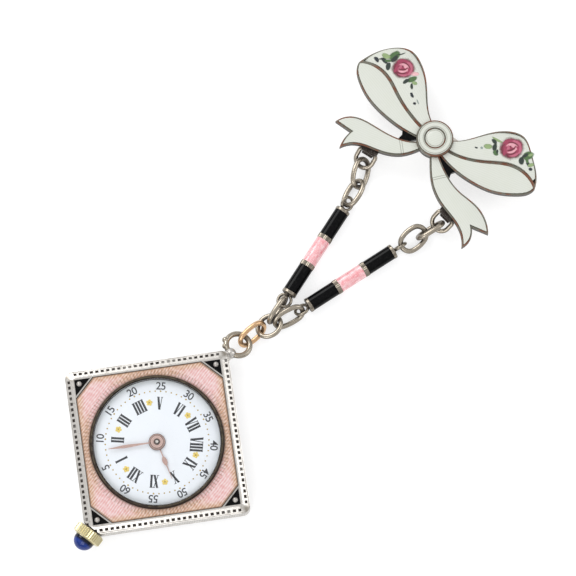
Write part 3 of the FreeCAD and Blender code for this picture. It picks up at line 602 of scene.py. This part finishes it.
def bow_metal(name, silver, line, tarnish):
    """Bow plate: brown rubbed rims on top, near-black walls, plain silver behind."""
    make = Recipe(name)
    at = make.place()
    _, _, z = make.split(at)
    grain = make.noise(at, 5.0, 3.0, 0.7)
    cloud = make.noise(at, 0.45, 3.0)
    rim = make.ramp(z, BOW_RIM - 0.1, BOW_RIM - 0.02)
    back = make.ramp(z, BOW_BACK + 0.06, BOW_BACK + 0.01) * make.ramp(z, BOW_BACK - 0.2, BOW_BACK - 0.02)
    top = make.blend(make.ramp(cloud + (grain - 0.5) * 0.3, 0.38, 0.56), line, WORN_GREY)
    top = make.blend(make.ramp(grain, 0.55, 0.8) * 0.5, top, scaled(line, 0.4))
    wall = make.blend(make.ramp(grain, 0.4, 0.8) * 0.5, tarnish, scaled(silver, 0.4))
    tone = make.blend(rim, wall, top)
    tone = make.blend(back, tone, scaled(silver, 0.75))
    return make.surface(Base_Color=tone, Metallic=0.7 - rim * 0.5, Roughness=0.36 + grain * 0.15,
                        Normal=make.bump(grain, 0.015, 0.5))


def painted(name):
    """Fired paint: colour and cover come from the piece's own attribute."""
    make = Recipe(name)
    paint = make.node("ShaderNodeAttribute", {"attribute_name": "paint"})
    rough = make.noise(make.place(), 5.0, 2.0)
    return make.surface(Base_Color=paint["Color"], Alpha=paint["Alpha"], Roughness=0.2 + rough * 0.1, IOR=1.5,
                        Coat_Weight=0.4, Coat_Roughness=0.05)


def ink(name, colour, metal=0.0):
    """Fired ink or gold: a little thin in places."""
    make = Recipe(name)
    at = make.place()
    fade = make.ramp(make.noise(at, 3.5, 3.0), 0.3, 0.75)
    tone = make.blend(fade * 0.2, colour, scaled(colour, 0.6, 0.22))
    return make.surface(Base_Color=tone, Metallic=metal, Roughness=0.35, Normal=make.bump(fade, 0.006, 0.4))


def dress(names, material):
    """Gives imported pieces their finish."""
    for name in names:
        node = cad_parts[name]
        for slot in node.material_slots:
            slot.material = material


def new_piece(name, points, faces, material, slot):
    """Mesh object from points in millimetres; it rides on the watch's body."""
    mesh = bpy.data.meshes.new(name)
    rows = faces.tolist() if isinstance(faces, np.ndarray) else faces
    mesh.from_pydata((np.asarray(points) * MM).tolist(), [], rows)
    mesh.materials.append(material)
    mesh.validate()
    piece = bpy.data.objects.new(name, mesh)
    bpy.context.scene.collection.objects.link(piece)
    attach(piece, BODY)
    return piece


def slabs(corners, bottom, top):
    """Closed four-sided prisms between two levels: corners is an array (n, 4, 2), anticlockwise."""
    count = len(corners)
    low = np.concatenate([corners, np.full((count, 4, 1), bottom)], axis=2)
    high = np.concatenate([corners, np.full((count, 4, 1), top)], axis=2)
    points = np.concatenate([low, high], axis=1).reshape(-1, 3)
    pattern = np.array([(3, 2, 1, 0), (4, 5, 6, 7), (0, 1, 5, 4), (1, 2, 6, 5), (2, 3, 7, 6), (3, 0, 4, 7)])
    faces = (pattern[None] + 8 * np.arange(count)[:, None, None]).reshape(-1, 4)
    return points, faces


def domes(centres, radii, bottom, sides=10, rings=3):
    """Low round caps: radius r cos(a), height 0.45 r sin(a), with a from 0 to a quarter turn."""
    lift = np.linspace(0, math.pi / 2, rings + 1)[:-1]
    around = np.linspace(0, 2 * math.pi, sides, endpoint=False)
    ring = np.stack([np.outer(np.cos(lift), np.cos(around)), np.outer(np.cos(lift), np.sin(around)),
                     np.outer(0.45 * np.sin(lift), np.ones(sides))], axis=2).reshape(-1, 3)
    cap = np.concatenate([ring, [[0, 0, 0.45]], [[0, 0, 0]]])
    top = len(ring)
    level, step = np.meshgrid(np.arange(rings - 1), np.arange(sides), indexing="ij")
    after = (step + 1) % sides
    quads = np.stack([level * sides + step, level * sides + after, (level + 1) * sides + after,
                      (level + 1) * sides + step], axis=2).reshape(-1, 4)
    rim = np.arange(sides)
    last = (rings - 1) * sides
    caps = np.stack([last + rim, last + (rim + 1) % sides, np.full(sides, top)], axis=1)
    base = np.stack([(rim + 1) % sides, rim, np.full(sides, top + 1)], axis=1)
    centres = np.asarray(centres, float)
    points = cap[None] * np.asarray(radii, float)[:, None, None]
    points[:, :, :2] += centres[:, None, :]
    points[:, :, 2] += bottom
    faces = []
    for index in range(len(centres)):
        shift = index * len(cap)
        faces.extend((quads + shift).tolist() + (caps + shift).tolist() + (base + shift).tolist())
    return points.reshape(-1, 3), faces


def on_dial(clock, reach):
    """Point at a clock angle in degrees and a distance; twelve is towards the crown."""
    turn = math.radians(DIAL_TURN - clock)
    return np.array([math.sin(turn), -math.cos(turn)]) * reach


def dial_axes(clock):
    """Rightwards and outwards directions of a figure that stands with its foot to the middle."""
    out = on_dial(clock, 1.0)
    return np.array([out[1], -out[0]]), out


# Strokes of the hour letters in an upright letter of height 1: foot x, head x, half width, serif half
LETTERS = {
    "I": (0.235, [(0.0, 0.0, 0.082, 0.11)]),
    "V": (0.44, [(0.0, -0.14, 0.082, 0.0), (0.03, 0.15, 0.026, 0.0)]),
    "X": (0.46, [(0.13, -0.13, 0.082, 0.09), (-0.14, 0.14, 0.026, 0.09)]),
}
HOURS = ("XII", "I", "II", "III", "IIII", "V", "VI", "VII", "VIII", "IX", "X", "XI")
SERIF = 0.022


def letter_quads(word):
    """Quads of one hour figure in its own frame, centred, foot at 0 and head at 1."""
    total = sum(LETTERS[letter][0] for letter in word)
    at = -total / 2
    quads = []
    for letter in word:
        wide, strokes = LETTERS[letter]
        middle = at + wide / 2
        for foot, head, half, serif in strokes:
            foot += middle
            head += middle
            quads.append([(foot - half, 0), (foot + half, 0), (head + half, 1), (head - half, 1)])
            for end, level in ((foot, 0.0), (head, 1.0 - SERIF * 2)):
                if serif:
                    quads.append([(end - serif, level), (end + serif, level),
                                  (end + serif, level + SERIF * 2), (end - serif, level + SERIF * 2)])
        if letter == "V":
            for end, serif in ((middle - 0.14, 0.1), (middle + 0.15, 0.07)):
                quads.append([(end - serif, 1 - SERIF * 2), (end + serif, 1 - SERIF * 2),
                              (end + serif, 1), (end - serif, 1)])
        at += wide
    return np.array(quads)


def hour_figures(sizes, material):
    """All twelve hour figures, each turned so that its foot is towards the middle."""
    corners = []
    for hour, word in enumerate(HOURS):
        right, out = dial_axes(30 * hour)
        quads = letter_quads(word)
        reach = sizes.numeral_in / MM + quads[..., 1:] * sizes.numeral_high / MM
        corners.append(quads[..., :1] * sizes.numeral_high / MM * right + reach * out)
    points, faces = slabs(np.concatenate(corners), DIAL_TOP + FIGURE_LOW, DIAL_TOP + FIGURE_HIGH)
    return new_piece("hour_figures", points, faces, material, "dial_enamel")


def minute_figures(sizes, material):
    """Figures 5 to 60 from the built-in typeface, made into one mesh and set round the dial."""
    points = []
    faces = []
    shift = 0
    high = sizes.figure_high / MM
    for step in range(1, 13):
        text = bpy.data.curves.new("figure", "FONT")
        text.body = str(5 * step)
        text.align_x = "CENTER"
        text.size = high / 0.72
        text.space_character = 0.92
        text.extrude = 0.006
        text.offset = 0.018
        text.resolution_u = 4
        holder = bpy.data.objects.new("figure", text)
        bpy.context.scene.collection.objects.link(holder)
        bpy.context.view_layer.update()
        made = bpy.data.meshes.new_from_object(holder.evaluated_get(bpy.context.evaluated_depsgraph_get()))
        flat = np.empty(len(made.vertices) * 3)
        made.vertices.foreach_get("co", flat)
        flat = flat.reshape(-1, 3)
        right, out = dial_axes(30 * step)
        spot = flat[:, :1] * right + (sizes.figure_at / MM - high / 2 + flat[:, 1:2]) * out
        points.append(np.column_stack([spot, flat[:, 2] + DIAL_TOP + 0.01]))
        faces.extend([[v + shift for v in face.vertices] for face in made.polygons])
        shift += len(flat)
        bpy.data.objects.remove(holder)
        bpy.data.curves.remove(text)
        bpy.data.meshes.remove(made)
    return new_piece("minute_figures", np.concatenate(points), faces, material, "dial_enamel")


# Brush strokes in millimetres in the bow's own frame: colour, x, y, half length, half width, heading, bend
PAINTS = {
    "leaf": "456537", "deep leaf": "1b2a22", "pale leaf": "869c6b", "ink": "121c24", "mist": "86958f",
    "blush": "e2b2b6", "crimson": "6a1c30", "rose": "943350", "petal": "b25c73", "light": "d69aa5",
}
LEFT_STROKES = [
    ("leaf", -13.15, 6.75, 0.95, 0.62, 75, 0.1), ("deep leaf", -12.85, 6.35, 0.75, 0.36, 80, 0.2),
    ("deep leaf", -12.55, 7.55, 0.75, 0.09, 52, 0.2), ("pale leaf", -14.2, 5.85, 0.68, 0.4, 15, 0.2),
    ("deep leaf", -13.95, 5.15, 0.62, 0.3, -8, -0.2), ("deep leaf", -12.95, 4.75, 0.6, 0.36, -65, 0.1),
    ("leaf", -13.5, 5.45, 0.5, 0.2, 35, 0.0), ("ink", -15.1, 4.6, 0.5, 0.27, -15, -0.3),
    ("ink", -14.6, 5.0, 0.3, 0.1, 30, 0.0), ("blush", -8.95, 6.3, 0.75, 0.34, 35, 0.1),
    ("leaf", -8.65, 5.3, 0.85, 0.4, 60, 0.1), ("deep leaf", -9.2, 4.55, 0.6, 0.28, 70, -0.2),
    ("pale leaf", -7.95, 5.1, 0.4, 0.28, 20, 0.0), ("deep leaf", -8.0, 4.35, 0.48, 0.2, -50, 0.2),
    ("ink", -7.05, 3.2, 0.38, 0.2, -25, 0.0), ("ink", -7.35, 3.4, 0.2, 0.12, 40, 0.0),
    ("ink", -5.95, 2.4, 0.24, 0.2, 10, 0.0), ("mist", -5.7, 2.9, 0.4, 0.07, -30, 0.0),
]
RIGHT_STROKES = [
    ("leaf", 13.35, 6.5, 0.9, 0.62, 62, 0.0), ("deep leaf", 13.0, 6.2, 0.6, 0.25, 70, 0.2),
    ("pale leaf", 13.6, 6.8, 0.4, 0.2, 60, 0.0), ("deep leaf", 13.0, 5.15, 0.58, 0.4, -50, 0.1),
    ("ink", 14.1, 5.4, 0.5, 0.24, -25, 0.3), ("leaf", 13.7, 5.7, 0.45, 0.2, -30, 0.0),
    ("pale leaf", 14.6, 5.5, 0.5, 0.28, 55, 0.0), ("ink", 14.95, 4.95, 0.3, 0.24, 20, 0.0),
    ("pale leaf", 8.0, 5.6, 0.85, 0.2, 8, 0.1), ("deep leaf", 7.75, 5.15, 0.52, 0.3, -15, -0.2),
    ("deep leaf", 8.35, 4.35, 0.6, 0.36, -60, 0.2), ("leaf", 9.0, 3.7, 0.5, 0.34, -20, 0.2),
    ("deep leaf", 9.1, 4.05, 0.35, 0.16, -60, 0.0), ("pale leaf", 7.45, 3.85, 0.62, 0.4, 28, 0.0),
    ("mist", 6.8, 3.05, 0.2, 0.17, 0, 0.0), ("ink", 6.1, 2.55, 0.24, 0.13, 20, 0.0),
]
# One bloom of radius 1: dark ground, outer petals, then the folded heart
ROSE = [
    ("crimson", 0.0, 0.0, 1.0, 0.92, 20, 0.0), ("rose", 0.1, 0.08, 0.8, 0.72, 20, 0.0),
    ("petal", 0.62, 0.38, 0.5, 0.15, -52, -0.5), ("petal", 0.72, -0.3, 0.4, 0.12, -112, -0.5),
    ("rose", -0.2, 0.74, 0.5, 0.14, 12, -0.5), ("petal", 0.1, -0.7, 0.48, 0.1, 8, 0.5),
    ("crimson", 0.3, 0.42, 0.5, 0.09, -30, -0.6), ("light", 0.08, 0.34, 0.46, 0.12, -12, -0.7),
    ("crimson", -0.08, 0.16, 0.44, 0.08, 0, -0.8), ("light", 0.26, 0.02, 0.3, 0.11, -50, -0.6),
    ("petal", -0.3, 0.02, 0.3, 0.12, 60, 0.6), ("crimson", 0.02, -0.16, 0.46, 0.09, 14, 0.8),
    ("light", -0.02, -0.36, 0.42, 0.1, 10, 0.7), ("crimson", -0.1, -0.54, 0.52, 0.07, 6, 0.6),
    ("rose", -0.66, -0.2, 0.36, 0.13, 70, 0.4),
]
# The sprays: their strokes, the bloom's place and radius and its turn, the sheet's reach in the bow's
# frame, and the panel's crown as a point on its line, its heading and its rise
SPRAYS = {
    "spray_left": {"strokes": LEFT_STROKES, "rose": (-10.85, 5.95, 1.7), "x": (-16.0, -5.0), "y": (1.9, 8.4),
                   "crown": (-10.0, 4.6, -24.0, 0.55), "turned": 30.0},
    "spray_right": {"strokes": RIGHT_STROKES, "rose": (10.55, 5.9, 1.8), "x": (5.5, 16.0), "y": (2.0, 8.1),
                    "crown": (10.0, 4.4, 24.0, 0.55), "turned": 50.0},
}


def soft_noise(x, y, seed):
    """Smooth wander between -1 and 1: pairs of crossing sines of unlike pitch."""
    total = np.zeros_like(x)
    for index, (pitch, weight) in enumerate(((1.7, 0.4), (0.83, 0.3), (0.41, 0.2), (0.19, 0.1))):
        slant = seed + 1.3 * index
        along = x * math.cos(slant) + y * math.sin(slant)
        across = y * math.cos(slant) - x * math.sin(slant)
        total += weight * np.sin(2 * math.pi * along / pitch + 7 * slant)
        total += weight * np.sin(2 * math.pi * across / (pitch * 1.31) + slant)
    return total / 2


def stroke_cover(x, y, row, soft=0.22):
    """Cover of a brush stroke: an ellipse whose long axis bends into a parabola."""
    _, x0, y0, long, wide, heading, bend = row
    turn = math.radians(heading)
    u = (x - x0) * math.cos(turn) + (y - y0) * math.sin(turn)
    v = (y - y0) * math.cos(turn) - (x - x0) * math.sin(turn) - bend * u * u
    edge = np.sqrt((u / long) ** 2 + (v / wide) ** 2) + 0.12 * soft_noise(x, y, x0)
    cover = np.clip((1 + soft - edge) / (2 * soft), 0, 1)
    return cover * cover * (3 - 2 * cover)


def rose_strokes(x0, y0, radius, heading):
    """The bloom's strokes at its place, scaled and turned."""
    turn = math.radians(heading)
    rows = []
    for colour, x, y, long, wide, slant, bend in ROSE:
        px = x0 + radius * (x * math.cos(turn) - y * math.sin(turn))
        py = y0 + radius * (x * math.sin(turn) + y * math.cos(turn))
        rows.append((colour, px, py, radius * long, radius * wide, slant + heading, bend / radius))
    return rows


def spray_patch(name, spec, material):
    """Thin sheet over the panel's crown, z = c + sqrt(R^2 - d^2), painted stroke by stroke.
    Only the cells with paint are kept."""
    xs = np.arange(spec["x"][0], spec["x"][1] + PAINT_STEP / 2, PAINT_STEP)
    ys = np.arange(spec["y"][0], spec["y"][1] + PAINT_STEP / 2, PAINT_STEP)
    x, y = np.meshgrid(xs, ys, indexing="ij")
    cx, cy, heading, rise = spec["crown"]
    turn = math.radians(heading)
    off = (y - cy) * math.cos(turn) - (x - cx) * math.sin(turn)
    z = BOW_RIM + rise - PANEL_CROWN_R + np.sqrt(PANEL_CROWN_R ** 2 - off ** 2) + PAINT_LIFT
    layers = np.zeros((*x.shape, 3))
    cover = np.zeros_like(x)
    for row in spec["strokes"] + rose_strokes(*spec["rose"], spec["turned"]):
        mask = stroke_cover(x, y, row)
        shade = 1 + 0.16 * soft_noise(x * 1.7, y * 1.7, row[1] + row[2])
        tint = np.array(linear(PAINTS[row[0]])) * shade[..., None]
        layers += (tint - layers) * mask[..., None]
        cover += (1 - cover) * mask
    colour = layers / np.maximum(cover, 0.001)[..., None]
    turn = math.radians(BOW_TURN)
    px = BOW_AT[0] + x * math.cos(turn) - y * math.sin(turn)
    py = BOW_AT[1] + x * math.sin(turn) + y * math.cos(turn)
    points = np.stack([px, py, z], axis=2).reshape(-1, 3)
    across = len(ys)
    i, j = np.meshgrid(np.arange(len(xs) - 1), np.arange(across - 1), indexing="ij")
    corner = i * across + j
    faces = np.stack([corner, corner + across, corner + across + 1, corner + 1], axis=2).reshape(-1, 4)
    painted_cells = faces[cover.reshape(-1)[faces].max(axis=1) > 0.002]
    used, faces = np.unique(painted_cells, return_inverse=True)
    faces = faces.reshape(-1, 4)
    piece = new_piece(name, points[used], faces, material, "white_enamel")
    layer = piece.data.color_attributes.new("paint", "FLOAT_COLOR", "POINT")
    values = np.concatenate([np.clip(colour, 0, 1).reshape(-1, 3), cover.reshape(-1, 1)], axis=1)[used]
    layer.data.foreach_set("color", values.astype(np.float32).ravel())
    piece.data.polygons.foreach_set("use_smooth", np.ones(len(piece.data.polygons), bool))
    return piece


def picked(context, *names):
    """The panel's colours of these names as plain tuples."""
    return [tuple(getattr(context.scene.pin_colours, name)) for name in names]


class PIN_OT_case(bpy.types.Operator):
    """Finish the case, the engraved rim, the stem and the hands' post"""
    bl_idname = "pin.case"
    bl_label = "Case and Rim"

    def execute(self, context):
        silver, tarnish = picked(context, "silver", "tarnish")
        dress(["case"], hatched_silver("case_silver", silver, tarnish))
        dress(["bezel"], rim_silver("rim_silver", silver, tarnish))
        dress(["stem"], worn_silver("stem_steel", scaled(silver, 0.8), tarnish))
        dress(["movement"], hand_metal("post_silver", silver, tarnish, POST_R))
        return {"FINISHED"}


class PIN_OT_face(bpy.types.Operator):
    """Finish the pink plate, the black corners, the dark ring and the glass"""
    bl_idname = "pin.face"
    bl_label = "Face"

    def execute(self, context):
        pink, peach, black, gilt, tarnish = picked(context, "pink", "peach", "black", "gilt", "tarnish")
        pitch = context.scene.pin_sizes.turning_pitch / MM
        corners = ["corner_enamel_" + str(i) for i in range(1, 5)]
        dress(["face_plate"], turned_enamel("face_enamel", pink, peach, pitch))
        dress(corners, black_enamel("corner_black", black))
        dress(["crystal_ring"], dark_ring("ring_oxide", gilt, tarnish))
        dress(["crystal"], clear_glass("watch_glass"))
        return {"FINISHED"}


class PIN_OT_dial(bpy.types.Operator):
    """Fire the dial and paint its figures, dots and florets"""
    bl_idname = "pin.dial"
    bl_label = "Dial"

    def execute(self, context):
        white, dark, gold, yellow = picked(context, "dial", "ink", "dot_gold", "floret")
        sizes = context.scene.pin_sizes
        dress(["dial"], dial_enamel("dial_white", white))
        ink_paint = ink("figure_ink", dark)
        hour_figures(sizes, ink_paint)
        minute_figures(sizes, ink_paint)
        gold_paint = ink("dot_gold", gold, 0.35)
        count = sizes.dot_count
        spots = [on_dial(360 * i / count, sizes.dots_at / MM) for i in range(count)]
        radii = [FIVE_DOT_R if i % 5 == 0 else DOT_R for i in range(count)]
        middles = [on_dial(15 + 360 / FLORETS * i, sizes.florets_at / MM) for i in range(FLORETS)]
        radii += [BOSS_R] * FLORETS
        low = DIAL_TOP + DOT_LOW
        new_piece("minute_dots", *domes(spots + middles, radii, low), gold_paint, "dial_enamel")
        yellow_paint = ink("floret_yellow", yellow, 0.1)
        petals = []
        for index, middle in enumerate(middles):
            for petal in range(PETALS):
                turn = math.radians(360 / PETALS * petal + 25 * index)
                petals.append(middle + PETAL_AT * np.array([math.cos(turn), math.sin(turn)]))
        new_piece("florets", *domes(petals, [PETAL_R] * len(petals), low), yellow_paint, "dial_enamel")
        return {"FINISHED"}


class PIN_OT_hands(bpy.types.Operator):
    """Finish the two hands"""
    bl_idname = "pin.hands"
    bl_label = "Hands"

    def execute(self, context):
        hand, tarnish = picked(context, "hand", "tarnish")
        dress(["hour_hand"], hand_metal("hour_hand_copper", hand, tarnish, HOUR_HUB_R))
        dress(["minute_hand"], hand_metal("minute_hand_copper", hand, tarnish, MINUTE_HUB_R))
        return {"FINISHED"}


class PIN_OT_crown(bpy.types.Operator):
    """Finish the ribbed crown and its stone"""
    bl_idname = "pin.crown"
    bl_label = "Crown"

    def execute(self, context):
        gilt, tarnish, stone = picked(context, "gilt", "tarnish", "stone")
        dress(["crown_collar"], gilding("crown_gilt", gilt, tarnish, 0.35))
        dress(["cabochon"], blue_stone("cabochon_blue", stone))
        return {"FINISHED"}


class PIN_OT_chain(bpy.types.Operator):
    """Finish the watch's ring, the links, the jump rings and the bars"""
    bl_idname = "pin.chain"
    bl_label = "Chain"

    def execute(self, context):
        chain, link_gilt, pink, dark, tarnish = picked(context, "chain", "link_gilt", "bar_pink", "black",
                                                       "tarnish")
        links = ["link_common", "link_lower_left", "link_lower_right", "link_upper_left_1",
                 "link_upper_left_2", "link_upper_right_1", "link_upper_right_2", "ring_left", "ring_right",
                 "watch_bow"]
        dress(links, worn_silver("link_silver", chain, tarnish, 1.4))
        dress(["link_gold"], gilding("link_gilt", link_gilt, tarnish, 1.0))
        core = worn_silver("bar_silver", scaled(chain, 0.75), tarnish, 0.4)
        black = black_enamel("bar_black", dark)
        for name, (upper, lower) in BARS.items():
            heading = math.degrees(math.atan2(lower[1] - upper[1], lower[0] - upper[0]))
            dress([name + "_core"], core)
            dress([name + "_black_upper", name + "_black_lower"], black)
            dress([name + "_pink"], bar_enamel(name + "_rose", pink, heading))
        return {"FINISHED"}


class PIN_OT_bow(bpy.types.Operator):
    """Finish the bow's plate, panels, knot and pin, and paint its rose sprays"""
    bl_idname = "pin.bow"
    bl_label = "Bow"

    def execute(self, context):
        white, line, silver, black, tarnish = picked(context, "bow_white", "bow_line", "silver", "black",
                                                     "tarnish")
        panels = {"lobe_right_top": (24, ()), "lobe_right_front": (14, ()), "lobe_left_top": (-24, ()),
                  "lobe_left_front": (-14, ()), "tail_right": (-19, (((4.6, -4.5), (3.4, -6.0)),)),
                  "tail_left": (14, (((-4.0, -3.8), (-2.5, -5.3)),))}
        for name, (heading, creases) in panels.items():
            over = name in ("lobe_right_top", "lobe_left_top")
            dress([name], bow_enamel(name + "_white", white, heading, creases, painted_over=over))
        for name, rings in (("knot_ring", (2.5, 1.88)), ("knot_centre", (1.3,))):
            dress([name], bow_enamel(name + "_white", white, 60, rings=rings))
        dress(["bow_plate"], bow_metal("bow_silver", silver, line, tarnish))
        dress(["web_left", "web_right"], black_enamel("web_black", black))
        dress(["brooch_pin"], worn_silver("pin_silver", silver, tarnish))
        paint = painted("rose_paint")
        for name, spec in SPRAYS.items():
            spray_patch(name, spec, paint)
        return {"FINISHED"}


class PIN_OT_stage(bpy.types.Operator):
    """Set the pale floor, the soft lights and the camera"""
    bl_idname = "pin.stage"
    bl_label = "Stage"

    def execute(self, context):
        self.floor()
        self.lights()
        self.camera(context)
        return {"FINISHED"}

    def floor(self):
        """One square sheet just under the object."""
        signs = ((-1, -1), (1, -1), (1, 1), (-1, 1))
        mesh = bpy.data.meshes.new("floor")
        mesh.from_pydata([(x * FLOOR_HALF * MM, y * FLOOR_HALF * MM, FLOOR_LEVEL * MM) for x, y in signs],
                         [], [(0, 1, 2, 3)])
        make = Recipe("floor_white")
        tone = make.blend(make.noise(make.place(), 0.02), (0.42, 0.42, 0.42), (0.45, 0.45, 0.45))
        mesh.materials.append(make.surface(Base_Color=tone, Roughness=0.7, Emission_Color=(1.0, 1.0, 1.0),
                                           Emission_Strength=0.62))
        floor = bpy.data.objects.new("floor", mesh)
        bpy.context.scene.collection.objects.link(floor)

    def lights(self):
        """A bright sky, darker near the horizon, and three soft boxes."""
        make = Recipe("studio", bpy.data.worlds)
        _, _, height = make.split(make.node("ShaderNodeTexCoord")["Generated"])
        stops = [(position, (level, level, level * SKY_BLUE)) for position, level in SKY]
        sky = make.node("ShaderNodeValToRGB", {"stops": stops}, {"Fac": height})["Color"]
        glow = make.node("ShaderNodeBackground", None, {"Color": sky, "Strength": SKY_STRENGTH})["Background"]
        make.node("ShaderNodeOutputWorld", None, {"Surface": glow})
        bpy.context.scene.world = make.made
        aim = Vector(LIGHTS_AIM)
        for name, azimuth, elevation, distance, size, power in LIGHTS:
            light = bpy.data.lights.new(name, "AREA")
            light.energy = power
            light.size = size
            lamp = bpy.data.objects.new(name, light)
            turn = math.radians(azimuth)
            lift = math.radians(elevation)
            spot = Vector((math.cos(turn) * math.cos(lift), math.sin(turn) * math.cos(lift), math.sin(lift)))
            lamp.location = aim + spot * distance
            lamp.rotation_mode = "QUATERNION"
            lamp.rotation_quaternion = (-spot).to_track_quat("-Z", "Y")
            bpy.context.scene.collection.objects.link(lamp)

    def camera(self, context):
        """Nearly overhead, turned so that the bow lies up and to the right."""
        aim = Vector(CAMERA_AIM) * MM
        azimuth = math.radians(CAMERA_AZIMUTH)
        elevation = math.radians(CAMERA_ELEVATION)
        back = Vector((math.sin(azimuth) * math.cos(elevation), -math.cos(azimuth) * math.cos(elevation),
                       math.sin(elevation)))
        lens = bpy.data.cameras.new("camera")
        lens.sensor_width = SENSOR
        width_seen = IMAGE_PIXELS / PIXELS_PER_MM * MM
        lens.lens = SENSOR * CAMERA_DISTANCE / width_seen
        lens.clip_start = 0.01
        lens.clip_end = 10.0
        camera = bpy.data.objects.new("camera", lens)
        camera.location = aim + back * CAMERA_DISTANCE
        camera.rotation_mode = "QUATERNION"
        camera.rotation_quaternion = (-back).to_track_quat("-Z", "Y")
        context.scene.collection.objects.link(camera)
        context.scene.camera = camera
        context.scene.view_settings.view_transform = "Standard"


class PIN_PT_panel(bpy.types.Panel):
    """Lists the sizes, the colours and the steps"""
    bl_idname = "PIN_PT_panel"
    bl_label = "Watch Pin"
    bl_space_type = "VIEW_3D"
    bl_region_type = "UI"
    bl_category = "Watch Pin"

    def draw(self, context):
        for group in (context.scene.pin_sizes, context.scene.pin_colours):
            column = self.layout.column()
            for name in group.bl_rna.properties.keys():
                if name not in ("rna_type", "name"):
                    column.prop(group, name)
        for step in STEPS:
            self.layout.operator(step.bl_idname)


STEPS = (PIN_OT_stage, PIN_OT_case, PIN_OT_face, PIN_OT_dial, PIN_OT_hands, PIN_OT_crown, PIN_OT_chain,
         PIN_OT_bow)
CLASSES = (PinColours, PinSizes, *STEPS, PIN_PT_panel)


def register():
    for item in CLASSES:
        bpy.utils.register_class(item)
    bpy.types.Scene.pin_colours = PointerProperty(type=PinColours)
    bpy.types.Scene.pin_sizes = PointerProperty(type=PinSizes)


def unregister():
    del bpy.types.Scene.pin_sizes
    del bpy.types.Scene.pin_colours
    for item in reversed(CLASSES):
        bpy.utils.unregister_class(item)


def main():
    register()
    for step in STEPS:
        group, name = step.bl_idname.split(".")
        getattr(getattr(bpy.ops, group), name)()


if __name__ == "__main__":
    main()
